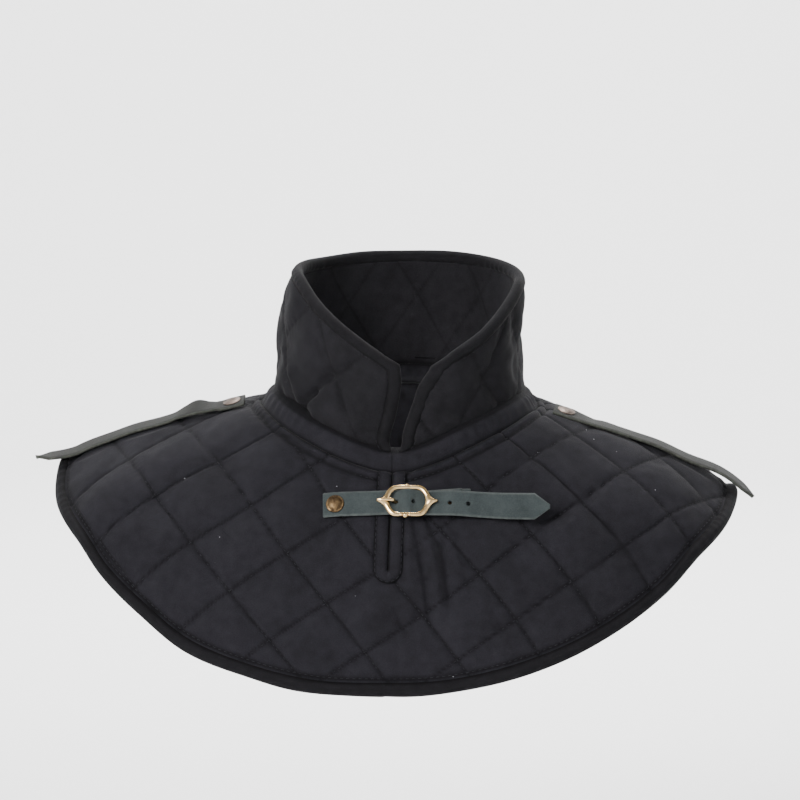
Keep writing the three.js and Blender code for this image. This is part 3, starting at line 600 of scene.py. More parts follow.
class Tone:
    """One socket of a material. An expression on tones adds its Math nodes."""

    def __init__(self, tree, socket=None):
        self.tree = tree
        self.socket = socket

    def node(self, kind, settings=None, values=None, output=0):
        made = self.tree.nodes.new("ShaderNode" + kind)
        for name, setting in (settings or {}).items():
            setattr(made, name, setting)
        for name, value in (values or {}).items():
            if isinstance(value, Tone):
                self.tree.links.new(value.socket, made.inputs[name])
            else:
                made.inputs[name].default_value = value
        return Tone(self.tree, made.outputs[output])

    def math(self, operation, first, second=0.0):
        return self.node("Math", {"operation": operation}, {0: first, 1: second})

    def held(self):
        """The same tone, never under 0 or over 1."""
        return self.math("MINIMUM", self.math("MAXIMUM", self, 0.0), 1.0)

    def bumped(self, strength):
        """The surface's direction, with this tone as its height in metres."""
        return self.node("Bump", {}, {"Strength": strength, "Distance": 1.0, "Height": self})

    def __add__(self, other):
        return self.math("ADD", self, other)

    def __sub__(self, other):
        return self.math("SUBTRACT", self, other)

    def __rsub__(self, other):
        return self.math("SUBTRACT", other, self)

    def __mul__(self, other):
        return self.math("MULTIPLY", self, other)

    def __gt__(self, other):
        return self.math("GREATER_THAN", self, other)

    def __lt__(self, other):
        return self.math("LESS_THAN", self, other)

    __radd__ = __add__
    __rmul__ = __mul__

    def mixed(self, first, second):
        """Two colours mixed, this tone being the share of the second."""
        settings = {"data_type": "RGBA"}
        first, second = ((*c, 1) if isinstance(c, tuple) else c for c in (first, second))
        return self.node("Mix", settings, {0: self, 6: first, 7: second}, 2)

    def noise(self, place, scale, detail=3.0, roughness=0.5):
        values = {"Vector": place, "Scale": scale, "Detail": detail, "Roughness": roughness}
        return self.node("TexNoise", {}, values)


def finish(name, fixed, surface):
    """A material: fixed numbers on the shader's own sockets, and a function that gives the rest."""
    material = bpy.data.materials.new(name)
    material.use_nodes = True
    tree = material.node_tree
    shader = tree.nodes["Principled BSDF"]
    for socket, value in fixed.items():
        shader.inputs[socket].default_value = value
    for socket, tone in surface(Tone(tree)).items():
        tree.links.new(tone.socket, shader.inputs[socket])
    return material


def canvas(name, colour, light, thread=0.00062, lint=0.0):
    """Black cotton canvas: a plain weave, worn blotchy in tone, with painted shade that darkens it in its
    seams, so that it stands out lighter between them.
    """

    def surface(tone):
        flat = tone.node("Attribute", {"attribute_name": "flat"}, output=1)
        dip = tone.node("Attribute", {"attribute_name": "dip"}, output=2)
        place = tone.node("TexCoord", output=3)
        axes = [tone.node("SeparateXYZ", {}, {"Vector": flat}, axis) for axis in (0, 1)]
        across, down = (tone.math("SINE", axis * (math.pi / thread)) for axis in axes)
        weave = across * down
        blotch = tone.noise(place, 26.0, 4.0)
        nap = tone.noise(place, 1500.0, 2.0)
        cloudy = tone.noise(place, 140.0, 3.0)
        worn = (blotch - 0.5) * 0.9 + (cloudy - 0.5) * 0.7 + (nap - 0.5) * 0.9 + 0.42
        # Painted shade: the share of seam kept as dip darkens the colour, and deep in the seams' middles it
        # mixes the colour towards a nearly lightless tone.
        shade = (worn - dip * 0.65).held().mixed(colour, light)
        shade = (dip * dip * 0.75).mixed(shade, (0.0014, 0.0013, 0.0016))
        height = weave * 0.00006 + nap * 0.00016 + cloudy * 0.0002
        rough = blotch * 0.12 + 0.82
        if lint:
            cell = {"Vector": place, "Scale": 62.0}
            fleck = tone.node("TexVoronoi", {}, cell) + nap * 0.05 < 0.051
            chosen = tone.noise(place, 31.0, 1.0) > 1 - lint
            shade = (fleck * chosen).mixed(shade, (0.2, 0.2, 0.215))
        return {"Base Color": shade, "Roughness": rough, "Normal": height.bumped(0.8)}

    fixed = {"Sheen Weight": 0.035, "Sheen Roughness": 0.4, "Specular IOR Level": 0.1}
    return finish(name, fixed, surface)


quilt_canvas = canvas("quilt_canvas", (0.0055, 0.0052, 0.0067), (0.0157, 0.015, 0.0189), lint=0.5)


def seat(piece, material, slot, *nodes, padded=None):
    """Gives a piece its material and its body, and hides the nodes that it stands for. Its slot is not used.
    """
    piece.data.materials.clear()
    piece.data.materials.append(material)
    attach(piece, "root")
    if nodes:
        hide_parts(*nodes)


seat(mantle, quilt_canvas, "quilted_cloth", "mantle", padded=0.35)

# Hem binding. A strip of the same black cotton, folded over the mantle's edge and sewn through, so that
# it stands as a soft round roll. The thread pulls small puckers into it.
roll_thickness = 9


def roll(points=11, seam_height=0.6):
    """A sewn roll in section: shares of the way to its free edge, and shares of its half thickness."""
    crown = 0.42
    share = (1 - np.cos(np.linspace(0, np.pi, points))) / 2
    rising = seam_height + (1 - seam_height) * np.sin(np.pi / 2 * np.minimum(share / crown, 1))
    falling = np.sqrt(np.maximum(1 - (np.maximum(share - crown, 0) / (1 - crown)) ** 2, 0))
    height = np.where(share < crown, rising, falling)
    return np.concatenate([share, share[-2::-1]]), np.concatenate([height, -height[-2::-1]])


def gathers(along, share, depth=0.36):
    """The puckers along a roll, strongest beside its seam."""
    wave = np.sin(along * 0.82 + 2.2 * np.sin(along / 9.1)) * (0.6 + 0.4 * np.sin(along / 31))
    slow = 0.22 * np.sin(along / 14 + 1.6 * np.sin(along / 43))
    return depth * wave * np.clip(1 - share, 0, 1) + slow * np.sin(np.pi * share)


def flat_ends(count, size):
    """One face at each end of an open row of rings."""
    return [[start + side for side in range(size)] for start in (0, (count - 1) * size)]


def rolled(name, inner, free, thickness, closed=False, seam_height=0.6, uneven=0.035, shut_shade=0.0):
    """A sewn roll between its seam and its free edge, each given as bearings and stations. Painted shade
    darkens its colour beside its seam and, as much as shut asks, on its free edge, where it meets another."""
    share, height = roll(seam_height=seam_height)
    path = skin(*inner)
    along = lengths(path)
    reach = share * (1 + uneven * np.sin(along / 17 + 2 * np.sin(along / 53))[:, None])
    bearing = inner[0][:, None] + (free[0] - inner[0])[:, None] * reach
    station = inner[1][:, None] + (free[1] - inner[1])[:, None] * reach
    pucker = gathers(along[:, None], share[None])
    points_out = cloth(bearing, station, height * (thickness / 2 + pucker))
    flat = laid_flat(along[:, None], share * binding_width)
    # Painted shade beside the seam, and on the free edge where it meets another.
    dip = np.exp(-((share / 0.16) ** 2)) + shut_shade * np.exp(-(((1 - share) / 0.1) ** 2)) + 0 * bearing
    return loft(name, points_out, closed, flat, dip, () if closed else flat_ends(len(path), len(share)))


binding_canvas = canvas("binding_canvas", (0.0032, 0.003, 0.0036), (0.0094, 0.009, 0.0106))
hem_bearing = np.linspace(0, 360, 700, endpoint=False) + bearing_across(slit_middle, hem_station)
hem_width = binding_width / mantle_length(hem_bearing)
hem_overlap = 1.22
hem_roll = rolled(
    "hem_roll",
    (hem_bearing, hem_station - hem_overlap * hem_width),
    (hem_bearing, hem_station + 0 * hem_bearing),
    roll_thickness,
    closed=True,
)
seat(hem_roll, binding_canvas, "binding_cloth", "hem_binding", padded=0.5)

# Slit binding. A strip of the mantle's own canvas, sewn flatter than the hem's round the front slit, down
# one side and up the other, so that its two folded edges meet in the middle.
slit_thickness = 7.6
slit_seam_height = 0.72
slit_outer = notch_half_width + 1.2
slit_closed = -0.04
slit_straight = slit_bottom * mantle_usable


def slit_place(across, down):
    station = mantle_station(0.0, down / mantle_usable)
    return bearing_across(slit_middle + across, station), station


side_rings = 30
side_down = np.linspace(0, slit_straight, side_rings)
end_turn = np.linspace(0, np.pi, 24)[1:-1]
slit_side = np.concatenate([np.ones(side_rings), np.cos(end_turn), -np.ones(side_rings)])
slit_below = np.concatenate([np.zeros(side_rings), np.sin(end_turn), np.zeros(side_rings)])
slit_down = np.concatenate([side_down, slit_straight + 0 * end_turn, side_down[::-1]])
slit_roll = rolled(
    "slit_roll",
    slit_place(slit_side * slit_outer, slit_down + slit_below * slit_outer),
    slit_place(slit_side * slit_closed, slit_down + slit_below * slit_closed),
    slit_thickness,
    seam_height=slit_seam_height,
    uneven=0.0,
    # Painted shade on the two free edges, where they meet.
    shut_shade=1.1,
)
seat(slit_roll, quilt_canvas, "binding_cloth", "slit_binding", padded=0.35)

# Neck band. A full round fold of canvas, stuffed like the collar, which covers the seam that joins collar
# and mantle. It is open at the slit, as the mantle is.
band_thickness = 10.5
band_radius = 90
band_top = 0.93
band_bottom = mantle_top + 0.012
band_rings = 420
band_start = bearing_across(slit_middle + slit_closed, mantle_top)
band_end = bearing_across(slit_middle - slit_closed, mantle_top) + 360
band_bearing = np.linspace(band_start, band_end, band_rings)
band_share = np.linspace(0, 1, 15)
band_outer = 0.12 + 0.95 * np.sin(np.pi * band_share**0.68) ** 0.7
band_shares = np.concatenate([band_share, band_share[::-1]])
band_heights = np.concatenate([band_outer, -0.7 - 0.1 * np.sin(np.pi * band_share)])
band_along = np.radians(band_bearing)[:, None] * band_radius
band_pucker = 0.3 * np.sin(band_along * 0.7 + 2 * np.sin(band_along / 11)) * np.sin(np.pi * band_shares)
band_station = band_top + (band_bottom - band_top) * band_shares + 0 * band_along
band_rise = band_heights * band_thickness / 2 + band_pucker
band_points = cloth(band_bearing[:, None] + 0 * band_shares, band_station, band_rise)
# Painted shade along both edges of the band, where it meets the collar and the mantle.
band_edge_shade = np.exp(-(((1 - band_shares) / 0.1) ** 2)) + np.exp(-((band_shares / 0.12) ** 2))
neck_band = loft(
    "neck_band_fold",
    band_points,
    flat=laid_flat(band_along, band_station * band_height),
    dip=band_edge_shade + 0 * band_station,
    zipper=end_caps(band_rings, len(band_shares)),
)
seat(neck_band, quilt_canvas, "quilted_cloth", "neck_band", padded=0.5)

# Collar. A padded stand-up collar of the same quilted canvas, open at the throat. Its left front flap
# swells between two folds where the strap draws it in.
# Columns: station, bearing of the throat's left edge, bearing of its right edge.
throat_rows = [
    [0, -0.7, 15], [0.2, 0.6, 9.2], [0.4, 0.6, 7.8], [0.6, 0.4, 6.6],
    [0.78, -0.4, 5.6], [0.89, -0.4, 5.5], [0.95, 0.8, 4.6], [1, 2, 2.8],
]
# Columns: as the mantle's folds.
collar_folds = [
    [-23, 0.3, -33, 0.52, 3.2, 2],
    [-33, 0.52, -40, 0.74, 3.2, 3.6],
    [-40, 0.74, -46, 0.9, 3.2, 3.6],
    [-64, 0.93, -43, 0.97, 4.5, 3.2],
    [-34, 0.74, -18, 0.82, 12, -3],
    [-43, 0.26, -35, 0.4, 2.6, 1.2],
    [-26, 0.58, -19, 0.84, 3, 1.3],
    [-70, 0.62, -57, 0.72, 5, -1.6],
    [-57, 0.72, -50, 0.84, 5, -1.6],
    [58, 0.1, 51, 0.46, 4, 1.4],
    [44, 0.5, 57, 0.92, 5, 2],
    [69, 0.1, 72, 0.75, 6, 1.4],
    [26, 0.7, 36, 0.94, 4, 1.2],
    [-100, 0.3, -108, 0.8, 9, 1.6],
    [130, 0.4, 124, 0.85, 9, 1.6],
    [176, 0.35, 184, 0.85, 10, 1.4],
]
shortest_collar = 45
collar_foot = 1 - piece_gap / shortest_collar
collar_inset = binding_width + piece_gap
collar_pitches = (48.5, 45.8)
# Columns: what a step round, a step up and the start add to the two ways of quilting, in millimetres.
collar_ways = [[0.809, -0.588, 59.5], [0.848, 0.53, 17.5]]
collar_degree = 1.5
collar_depth = 0.75
foot_depth = 2.3


def collar_turn(distance, station):
    probe = 5
    return distance * probe / np.linalg.norm(skin(probe, station) - skin(0, station), axis=-1)


def collar_top(bearing, distance):
    return distance / sections(bearing)[1]


def collar_flat(bearing, station):
    return from_front(bearing) * collar_degree, (1 - station) * sections(bearing)[1]


def collar_face(bearing, station):
    x, y = collar_flat(bearing, station)
    ways = zip(collar_ways, collar_pitches)
    counts = np.stack([(around * x + upward * y + start) / pitch for (around, upward, start), pitch in ways])
    relief, dip = quilted(counts, collar_pitches, collar_depth)
    above_foot = (collar_foot - station) * sections(bearing)[1]
    edge = seam_dip(above_foot, 2, 4)
    folds = folded(skin(bearing, station), collar_folds)
    # The second value is the share of seam, which paints shade along the quilting lines and the foot.
    return wall / 2 + relief - foot_depth * edge + folds, np.maximum(0.45 * dip, edge)


collar_columns = 331
collar_rows = np.linspace(0, 1, 50)
throat = read_rows(throat_rows, collar_rows * collar_foot)
collar_margin = collar_turn(collar_inset, collar_rows)
collar_start = throat[:, 2] + collar_margin
collar_end = throat[:, 1] - collar_margin + 360
collar_bearing = collar_start + (collar_end - collar_start) * np.linspace(0, 1, collar_columns)[:, None]
collar_upper = collar_top(collar_bearing, collar_inset)
collar_station = collar_upper + (collar_foot - collar_upper) * collar_rows
collar_rise, collar_dip = collar_face(collar_bearing, collar_station)
collar_outer = cloth(collar_bearing, collar_station, collar_rise)
collar_normals = facing(collar_bearing, collar_station)
collar_held = collar_dip > 0.36
collar_held[:, [0, -1]] = collar_held[[0, -1]] = True
collar_move = settled(collar_outer, collar_normals, collar_held, growth=0.035, pressure=12, most=2.6)
collar_outer = collar_outer + collar_move
collar_inner = cloth(collar_bearing, collar_station, -wall / 2 + 0.35 * (collar_rise - wall / 2))
collar_plane = laid_flat(*collar_flat(collar_bearing, collar_station))
collar = loft(
    "collar_quilt",
    there_and_back(collar_outer, collar_inner),
    flat=there_and_back(collar_plane, collar_plane),
    dip=there_and_back(collar_dip, collar_dip),
    zipper=end_caps(collar_columns, 2 * len(collar_rows)),
)
collar_canvas = canvas("collar_canvas", (0.0042, 0.004, 0.0048), (0.0135, 0.0129, 0.0153))
seat(collar, collar_canvas, "quilted_cloth", "collar", padded=0.5)

# Collar binding. The roll of black cotton up the right edge of the throat, round the rim and down the
# left edge, in one strip.
throat_steps = np.linspace(0, 1, 44)
rim_columns = 300
collar_seam = binding_width + 1.5


def throat_edge(column, side):
    edges = read_rows(throat_rows, throat_steps * collar_foot)[:, column]
    inner = edges + side * collar_turn(collar_seam, throat_steps)
    inner_top = collar_top(inner, collar_seam)
    inner_station = inner_top + (collar_foot - inner_top) * throat_steps
    return (inner, inner_station), (edges, collar_foot * throat_steps)


right_inner, right_free = throat_edge(2, 1)
left_inner, left_free = throat_edge(1, -1)
rim_bearing = np.linspace(right_inner[0][0], left_inner[0][0] + 360, rim_columns)[1:-1]
rim_station = collar_top(rim_bearing, collar_seam)


def round_collar(right, top_station, left):
    """Bearings and stations up the right edge, round the rim and down the left edge."""
    bearing = np.concatenate([right[0][::-1], rim_bearing, left[0] + 360])
    return bearing, np.concatenate([right[1][::-1], top_station, left[1]])


collar_line = round_collar(right_inner, rim_station, left_inner)
collar_free = round_collar(right_free, 0 * rim_station, left_free)
collar_roll = rolled("collar_roll", collar_line, collar_free, roll_thickness)
seat(collar_roll, binding_canvas, "binding_cloth", "collar_binding", padded=0.5)

# Sewing thread. Black cotton thread, lockstitched along every line of the quilting, beside the bindings
# and along the band. Each stitch is a short length that sinks into the cloth at both ends.
stitch_length = 3.1
stitch_pitch = 4.4
stitch_radius = 0.0003
stitch_sides = 5


def thread(starts, ends, normals):
    """Points and faces of one short round length of thread for each start and end."""
    run = ends - starts
    side = unit(np.cross(normals, run))
    # Columns: share of its length, share of its thickness, lift over the cloth in radii.
    rows = [(0, 0.1, -0.6), (0.22, 0.9, 0.25), (0.5, 1, 0.5), (0.78, 0.9, 0.25), (1, 0.1, -0.6)]
    rings = []
    for share, thick, lift in rows:
        centre = starts + run * share + normals * stitch_radius * lift
        for angle in np.linspace(0, 2 * np.pi, stitch_sides, endpoint=False):
            around = side * np.cos(angle) + normals * np.sin(angle)
            rings.append(centre + stitch_radius * thick * around)
    base = (np.arange(len(starts)) * len(rings))[:, None, None]
    quads = base + strips(len(rows), stitch_sides)
    caps = base + np.array(flat_ends(len(rows), stitch_sides))
    return np.stack(rings, 1), quads.reshape(-1, 4).tolist() + caps.reshape(-1, stitch_sides).tolist()


def sewn(name, seams):
    """One mesh of all the stitches of some seams. Each seam gives its starts, ends and normals."""
    return solid(name, *thread(*(np.concatenate(column) for column in zip(*seams))), weld=False)


def along_path(bearing, station, rise):
    """Stitches evenly spaced along a line of the cloth."""
    points = cloth(bearing, station, rise)
    normals = facing(bearing, station)
    length = lengths(points)
    begin = np.arange(0.001, length[-1] - stitch_length * mm, stitch_pitch * mm)

    def at(values, place):
        return np.stack([np.interp(place, length, values[:, axis]) for axis in range(3)], -1)

    return at(points, begin), at(points, begin + stitch_length * mm), unit(at(normals, begin))


def quilting(way, behind):
    """The stitches of one way of the quilting, on the front or the back."""
    seams = []
    seam_gap = 48
    lowest, highest = -12, 20
    step = stitch_pitch / seam_gap
    reach = stitch_length / seam_gap
    for line in range(lowest, highest):
        begin = np.arange(lowest, highest, step) + 0.37 * step * line
        counts = [np.full_like(begin, line), begin]
        later = [counts[0], begin + reach]
        if way:
            counts.reverse()
            later.reverse()
        places = [sewn_place(*pair, behind) for pair in (counts, later)]
        middle_bearing, middle_station = places[0]
        good = ~np.isnan(places[0][0] + places[1][0])
        safe = np.where(good, middle_bearing, 0)
        length = mantle_length(safe)
        above_hem = (hem_station - middle_station) * length - binding_width
        below_band = (middle_station - mantle_top) * length
        good &= (above_hem > hem_seam + 0.5) & (below_band > band_seam + 0.5)
        below_slit = np.maximum(below_band - slit_straight, 0)
        middle = skin(safe, np.clip(middle_station, mantle_top, hem_station))
        if not behind:
            good &= np.hypot(middle[..., 0] - slit_middle, below_slit) > notch_half_width + 1
            good &= np.linalg.norm(middle - skin(*fold_middle), axis=-1) > fold_reach - 3
        if not good.any():
            continue
        pair = []
        for bearing, station in places:
            bearing, station = bearing[good], np.clip(station[good], mantle_top, hem_station)
            rise = mantle_face(bearing[None], station[None])[0][0]
            pair.append(cloth(bearing, station, rise))
        seams.append((pair[0], pair[1], facing(safe[good], middle_station[good])))
    return [np.concatenate(column) for column in zip(*seams)]


def mottled(name, fixed, scale, dark, light):
    """A material whose colour wavers a little."""

    def surface(tone):
        return {"Base Color": tone.noise(tone.node("TexCoord", output=3), scale).mixed(dark, light)}

    return finish(name, fixed, surface)


thread_sheen = {"Roughness": 0.75, "Specular IOR Level": 0.15}
cotton_thread = mottled("black_thread", thread_sheen, 900.0, (0.004, 0.004, 0.005), (0.016, 0.016, 0.019))
quilt_seams = [quilting(way, behind) for way in (0, 1) for behind in (False, True)]
quilt_thread = sewn("quilting_thread", quilt_seams)
seat(quilt_thread, cotton_thread, "quilted_cloth")

hem_row = hem_station - (binding_width + hem_seam) / mantle_length(hem_bearing)
hem_inner = hem_station - (binding_width - 1) / mantle_length(hem_bearing)
open_front = np.linspace(band_start + 5, band_end - 5, 700)
band_row = mantle_top + band_seam / mantle_length(open_front)
slit_seam = slit_outer - 1
slit_line = slit_place(slit_side * slit_seam, slit_down + slit_below * slit_seam)
seam_share = 0.125
seam_lift = 0.1


def roll_rise(share, thickness, seam_height=0.6):
    points = 41
    profile_share, profile_height = roll(points, seam_height)
    return np.interp(share, profile_share[:points], profile_height[:points]) * thickness / 2


edge_thread = sewn("edge_thread", [
    along_path(hem_bearing, hem_row, mantle_face(hem_bearing[None], hem_row[None])[0][0] + seam_lift),
    along_path(hem_bearing, hem_inner, roll_rise(seam_share, roll_thickness) + 0 * hem_bearing),
    along_path(open_front, band_row, mantle_face(open_front[None], band_row[None])[0][0] + seam_lift),
    along_path(*slit_line, roll_rise(seam_share, slit_thickness, slit_seam_height) + 0 * slit_line[0]),
    along_path(*collar_line, roll_rise(0.03, roll_thickness) + 0 * collar_line[0]),
])
seat(edge_thread, cotton_thread, "binding_cloth")

# Closing strap. Grey green suede leather, riveted beside the slit and drawn through the buckle. Its free
# end stands away from the cloth.
# Columns: x, height, lift of its middle over the cloth, share turned upright.
strap_rows = [
    [-46, -70.2, 1.5, 0], [-34, -69, 1.5, 0], [-20, -68.3, 1.6, 0], [-8, -68, 2.4, 0], [3, -68, 4, 0],
    [8.5, -68, 4.8, 0], [15, -68, 7.9, 0], [21.5, -68.1, 5.15, 0], [27, -68.3, 4.5, 0],
    [38, -68.7, 5.2, 0.05], [49, -69.2, 6.4, 0.15], [62, -70.2, 6.6, 0.3], [78, -71.6, 7.4, 0.5],
    [93, -73, 9.5, 0.75], [105, -74.2, 12, 0.9],
]
strap_width = 19
strap_thickness = 2
strap_tip = 11
strap_tip_width = 3
straight_ahead = np.array([0, -math.cos(math.radians(6)), math.sin(math.radians(6))])


def find_place(bearing, station, target, axes):
    """The point of the mantle's outer face that has two coordinates, and the way that it faces."""
    turn, step = 0.5, 0.01

    def face(b, s):
        return cloth(b, s, wall / 2 + 0 * np.asarray(b, float)) / mm

    for _ in range(12):
        here = face(bearing, station)
        turned = (face(bearing + turn, station) - here) / turn
        lowered = (face(bearing, station + step) - here) / step
        lack = [target[row] - here[..., axis] for row, axis in enumerate(axes)]
        turn_0, turn_1 = (turned[..., axis] for axis in axes)
        low_0, low_1 = (lowered[..., axis] for axis in axes)
        scale = turn_0 * low_1 - turn_1 * low_0
        bearing = bearing + (lack[0] * low_1 - lack[1] * low_0) / scale
        station = station + (lack[1] * turn_0 - lack[0] * turn_1) / scale
    return face(bearing, station), facing(bearing, station)


def front_place(across, height):
    across = np.asarray(across, float)
    return find_place(across / 2, mantle_top + 0.2 + 0 * across, (across, height), (0, 2))


def strap_run(across):
    """Points along the closing strap's middle, in millimetres, and the ways that it faces."""
    rows = read_rows(strap_rows, across)
    points, normals = front_place(across, rows[..., 1])
    upright = rows[..., 3:4]
    return points + normals * rows[..., 2:3], unit(normals * (1 - upright) + straight_ahead * upright)


def strap_mesh(name, points, normals, width, thickness, tip, tip_width, cup=0.0, twist=0.0):
    """A leather strap with rounded edges, whose last stretch narrows to a blunt point. The twist lifts its
    back edge and lowers its front edge."""
    run = unit(np.gradient(points, axis=0))
    length = lengths(points)
    half = width / 2 + 0 * length
    if tip:
        half = np.minimum(width, tip_width + (width - tip_width) * (length[-1] - length) / tip) / 2
    half = half - 0.5 * np.exp(-((length / 0.35) ** 2))
    side = unit(np.cross(normals, run))
    out = unit(np.cross(run, side))
    face = 13
    top, under = np.linspace(-1, 1, face), np.linspace(1, -1, face)
    across = np.concatenate([top, [1], under, [-1]])
    edge = 0.5 / (width / 2)
    edge_points = [face, 2 * face + 1]
    profile_x = np.clip(across * 1.02, -1, 1) * (1 - edge)
    profile_x[edge_points] = across[edge_points]
    profile_z = np.concatenate([np.ones(face), [0], -np.ones(face), [0]])
    profile_z[[0, face - 1, face + 1, 2 * face]] *= 0.7
    bow = cup * (1 - across**2)
    rings = (
        points[:, None]
        + side[:, None] * (half[:, None] * profile_x)[..., None]
        + out[:, None] * (profile_z * thickness / 2 + bow)[None, :, None]
        + out[:, None] * ((np.sign(side[:, 1]) * twist)[:, None] * profile_x)[..., None]
    ) * mm
    flat = laid_flat(length[:, None], half[:, None] * profile_x)
    edge_mask = (np.abs(profile_x) > 1 - 2.5 * edge) + 0 * rings[..., 0]
    return loft(name, rings, flat=flat, dip=edge_mask, zipper=flat_ends(len(points), len(across)))


tip_steps = 16
strap_points, strap_normals = strap_run(np.linspace(strap_rows[0][0], strap_rows[-1][0], 220))
tip_run = unit(strap_points[-1] - strap_points[-2])
tip_points = strap_points[-1] + tip_run * np.linspace(0.6, strap_tip, tip_steps)[:, None]
front_strap = strap_mesh(
    "closing_strap",
    np.concatenate([strap_points, tip_points]),
    np.concatenate([strap_normals, np.repeat(strap_normals[-1:], tip_steps, 0)]),
    strap_width,
    strap_thickness,
    strap_tip,
    strap_tip_width,
    cup=-0.25,
)


def cut_out(piece, work, place=None):
    """Cuts a shape, set at a place in metres, out of a piece."""
    mesh = bpy.data.meshes.new("cutter")
    work.to_mesh(mesh)
    work.free()
    cutter = placed("cutter", mesh, smooth=False)
    cutter.matrix_world = place or Matrix()
    bpy.context.view_layer.update()
    cut = piece.modifiers.new("cut", "BOOLEAN")
    cut.operation = "DIFFERENCE"
    cut.solver = "EXACT"
    cut.object = cutter
    piece.data = bpy.data.meshes.new_from_object(piece.evaluated_get(bpy.context.evaluated_depsgraph_get()))
    piece.modifiers.clear()
    bpy.data.objects.remove(cutter)


def punched(piece, point, normal, along, radius, stretch):
    """A round hole through a strap, at a point in millimetres, drawn out along the strap."""
    work = bmesh.new()
    size = {"radius1": radius * mm, "radius2": radius * mm, "depth": 12 * mm}
    bmesh.ops.create_cone(work, cap_ends=True, segments=20, **size)
    bmesh.ops.scale(work, vec=(stretch, 1, 1), verts=work.verts)
    z = Vector(normal)
    x = (Vector(along) - z * Vector(along).dot(z)).normalized()
    turn = Matrix((x, z.cross(x), z)).transposed().to_4x4()
    cut_out(piece, work, Matrix.Translation(Vector(point) * mm) @ turn)


buckle_x = 15
buckle_height = -68
prong_reach = 8.6
prong_hole_x = buckle_x - prong_reach
hole_pitch = 13
hole_x = prong_hole_x + hole_pitch * np.arange(5)
hole_points, hole_normals = strap_run(hole_x)
hole_run = unit(strap_run(hole_x + 0.5)[0] - hole_points)
hole_radius = 1.55
hole_stretches = [1.6, 1, 1, 1, 1]
for point, normal, along, stretch in zip(hole_points, hole_normals, hole_run, hole_stretches):
    punched(front_strap, point, normal, along, hole_radius, stretch)


def suede(name, colour, light, dark, edge):
    """Leather with a short nap: blotchy, and scuffed lighter along its edges."""

    def surface(tone):
        place = tone.node("TexCoord", output=3)
        edges = tone.node("Attribute", {"attribute_name": "dip"}, output=2)
        blotch = tone.noise(place, 55.0, 5.0, 0.6)
        grain = tone.noise(place, 900.0, 4.0, 0.65)
        fibre = tone.noise(place, 2600.0, 2.0)
        patches = (blotch * 1.5 + grain * 1.1 - 0.8).mixed(dark, light)
        base = tone.node("Mix", {"data_type": "RGBA"}, {0: 0.7, 6: (*colour, 1), 7: patches}, 2)
        scuffed = (edges * (tone.noise(place, 320.0) * 1.5 - 0.15)).mixed(base, edge)
        height = grain * 0.00022 + fibre * 0.0001 + blotch * 0.0003
        return {"Base Color": scuffed, "Roughness": grain * 0.2 + 0.68, "Normal": height.bumped(0.7)}

    return finish(name, {"Sheen Weight": 0.04, "Sheen Roughness": 0.5, "Specular IOR Level": 0.2}, surface)


strap_suede = suede(
    "grey_green_suede",
    colour=(0.02, 0.0262, 0.0268),
    light=(0.044, 0.0545, 0.055),
    dark=(0.0075, 0.0115, 0.012),
    edge=(0.062, 0.07, 0.067),
)
seat(front_strap, strap_suede, "strap_leather", "front_strap")

# Buckle. A cast brass frame, pointed at both ends, with a bar that drops behind it on two posts. It was
# polished after casting, so that its arms are round and its ends have a soft ridge.
bar_radius = 1.2
bar_level = 3.4
frame_underside = 6.2
frame_thickness = 2.4
seat_point, seat_normal = (value[()] for value in front_place(np.array(buckle_x), buckle_height))
buckle_across = unit(np.cross([0, 0, 1], seat_normal))
buckle_up = np.cross(seat_normal, buckle_across)
buckle_axes = np.stack([buckle_across, buckle_up, seat_normal])


def on_buckle(points):
    """From the buckle's own place, in millimetres, to metres: x along the strap, y up, z out."""
    return (seat_point + np.asarray(points, float) @ buckle_axes) * mm


# A quarter of the frame's outline and of its window, from the pointed end to the flat top. Columns: x, y.
outline_quarter = [
    [22.5, 0], [19.7, 1.7], [17.4, 3.4], [15.9, 5.5], [14.4, 8.2], [12.3, 10.7], [9.4, 12], [5, 12.2],
    [0, 12.1],
]
window_quarter = [
    [12.8, 0], [12.6, 2], [12, 4], [11.1, 5.8], [9.8, 7.3], [8.2, 8.4], [6.2, 8.9], [3.5, 9], [0, 8.9],
]


def whole_outline(quarter, samples=18):
    share = np.linspace(0, len(quarter) - 1, samples)
    curve = read_rows([[i, *row] for i, row in enumerate(quarter)], share)[:, 1:]
    half = np.concatenate([curve, curve[-2::-1] * (-1, 1)])
    return np.concatenate([half, half[-2:0:-1] * (1, -1)])


outline = whole_outline(outline_quarter)
window = whole_outline(window_quarter)
frame_centre = (outline + window) / 2
frame_half = (outline - window) / 2
ridge = np.exp(-((frame_centre[:, 1] / 2.6) ** 2)) * np.clip((np.abs(frame_centre[:, 0]) - 10) / 4, 0, 1)
section_turn = np.linspace(0, 2 * np.pi, 16, endpoint=False)
level = frame_underside + frame_thickness / 2
bulge = np.where(np.sin(section_turn) > 0, 1.25, 0.9)
frame_rings = np.concatenate([
    frame_centre[:, None] + frame_half[:, None] * np.cos(section_turn)[:, None],
    (level + (frame_thickness / 2 * (1 + 0.5 * ridge))[:, None] * np.sin(section_turn) * bulge)[..., None],
], -1)
# Painted shade: the lower side of each arm's round section, towards the cloth, is darkened and dulled.
frame_shade = np.clip(0.35 - 1.4 * np.sin(section_turn), 0, 1) ** 2 + 0 * frame_rings[..., 0]
buckle_ring = loft("buckle_cast", on_buckle(frame_rings), closed=True, dip=frame_shade)


def round_rod(name, points, radii, sides=14):
    """A round rod along points of the buckle, with its own radius at each."""
    points = np.asarray(points, float)
    run = unit(np.gradient(points, axis=0))
    side = unit(np.cross(run, [1.0, 0.0, 0.05]))
    up = np.cross(run, side)
    turn = np.linspace(0, 2 * np.pi, sides, endpoint=False)[:, None]
    around = side[:, None] * np.cos(turn) + up[:, None] * np.sin(turn)
    rings = points[:, None] + around * np.asarray(radii)[:, None, None]
    return loft(name, on_buckle(rings), zipper=flat_ends(len(points), sides))


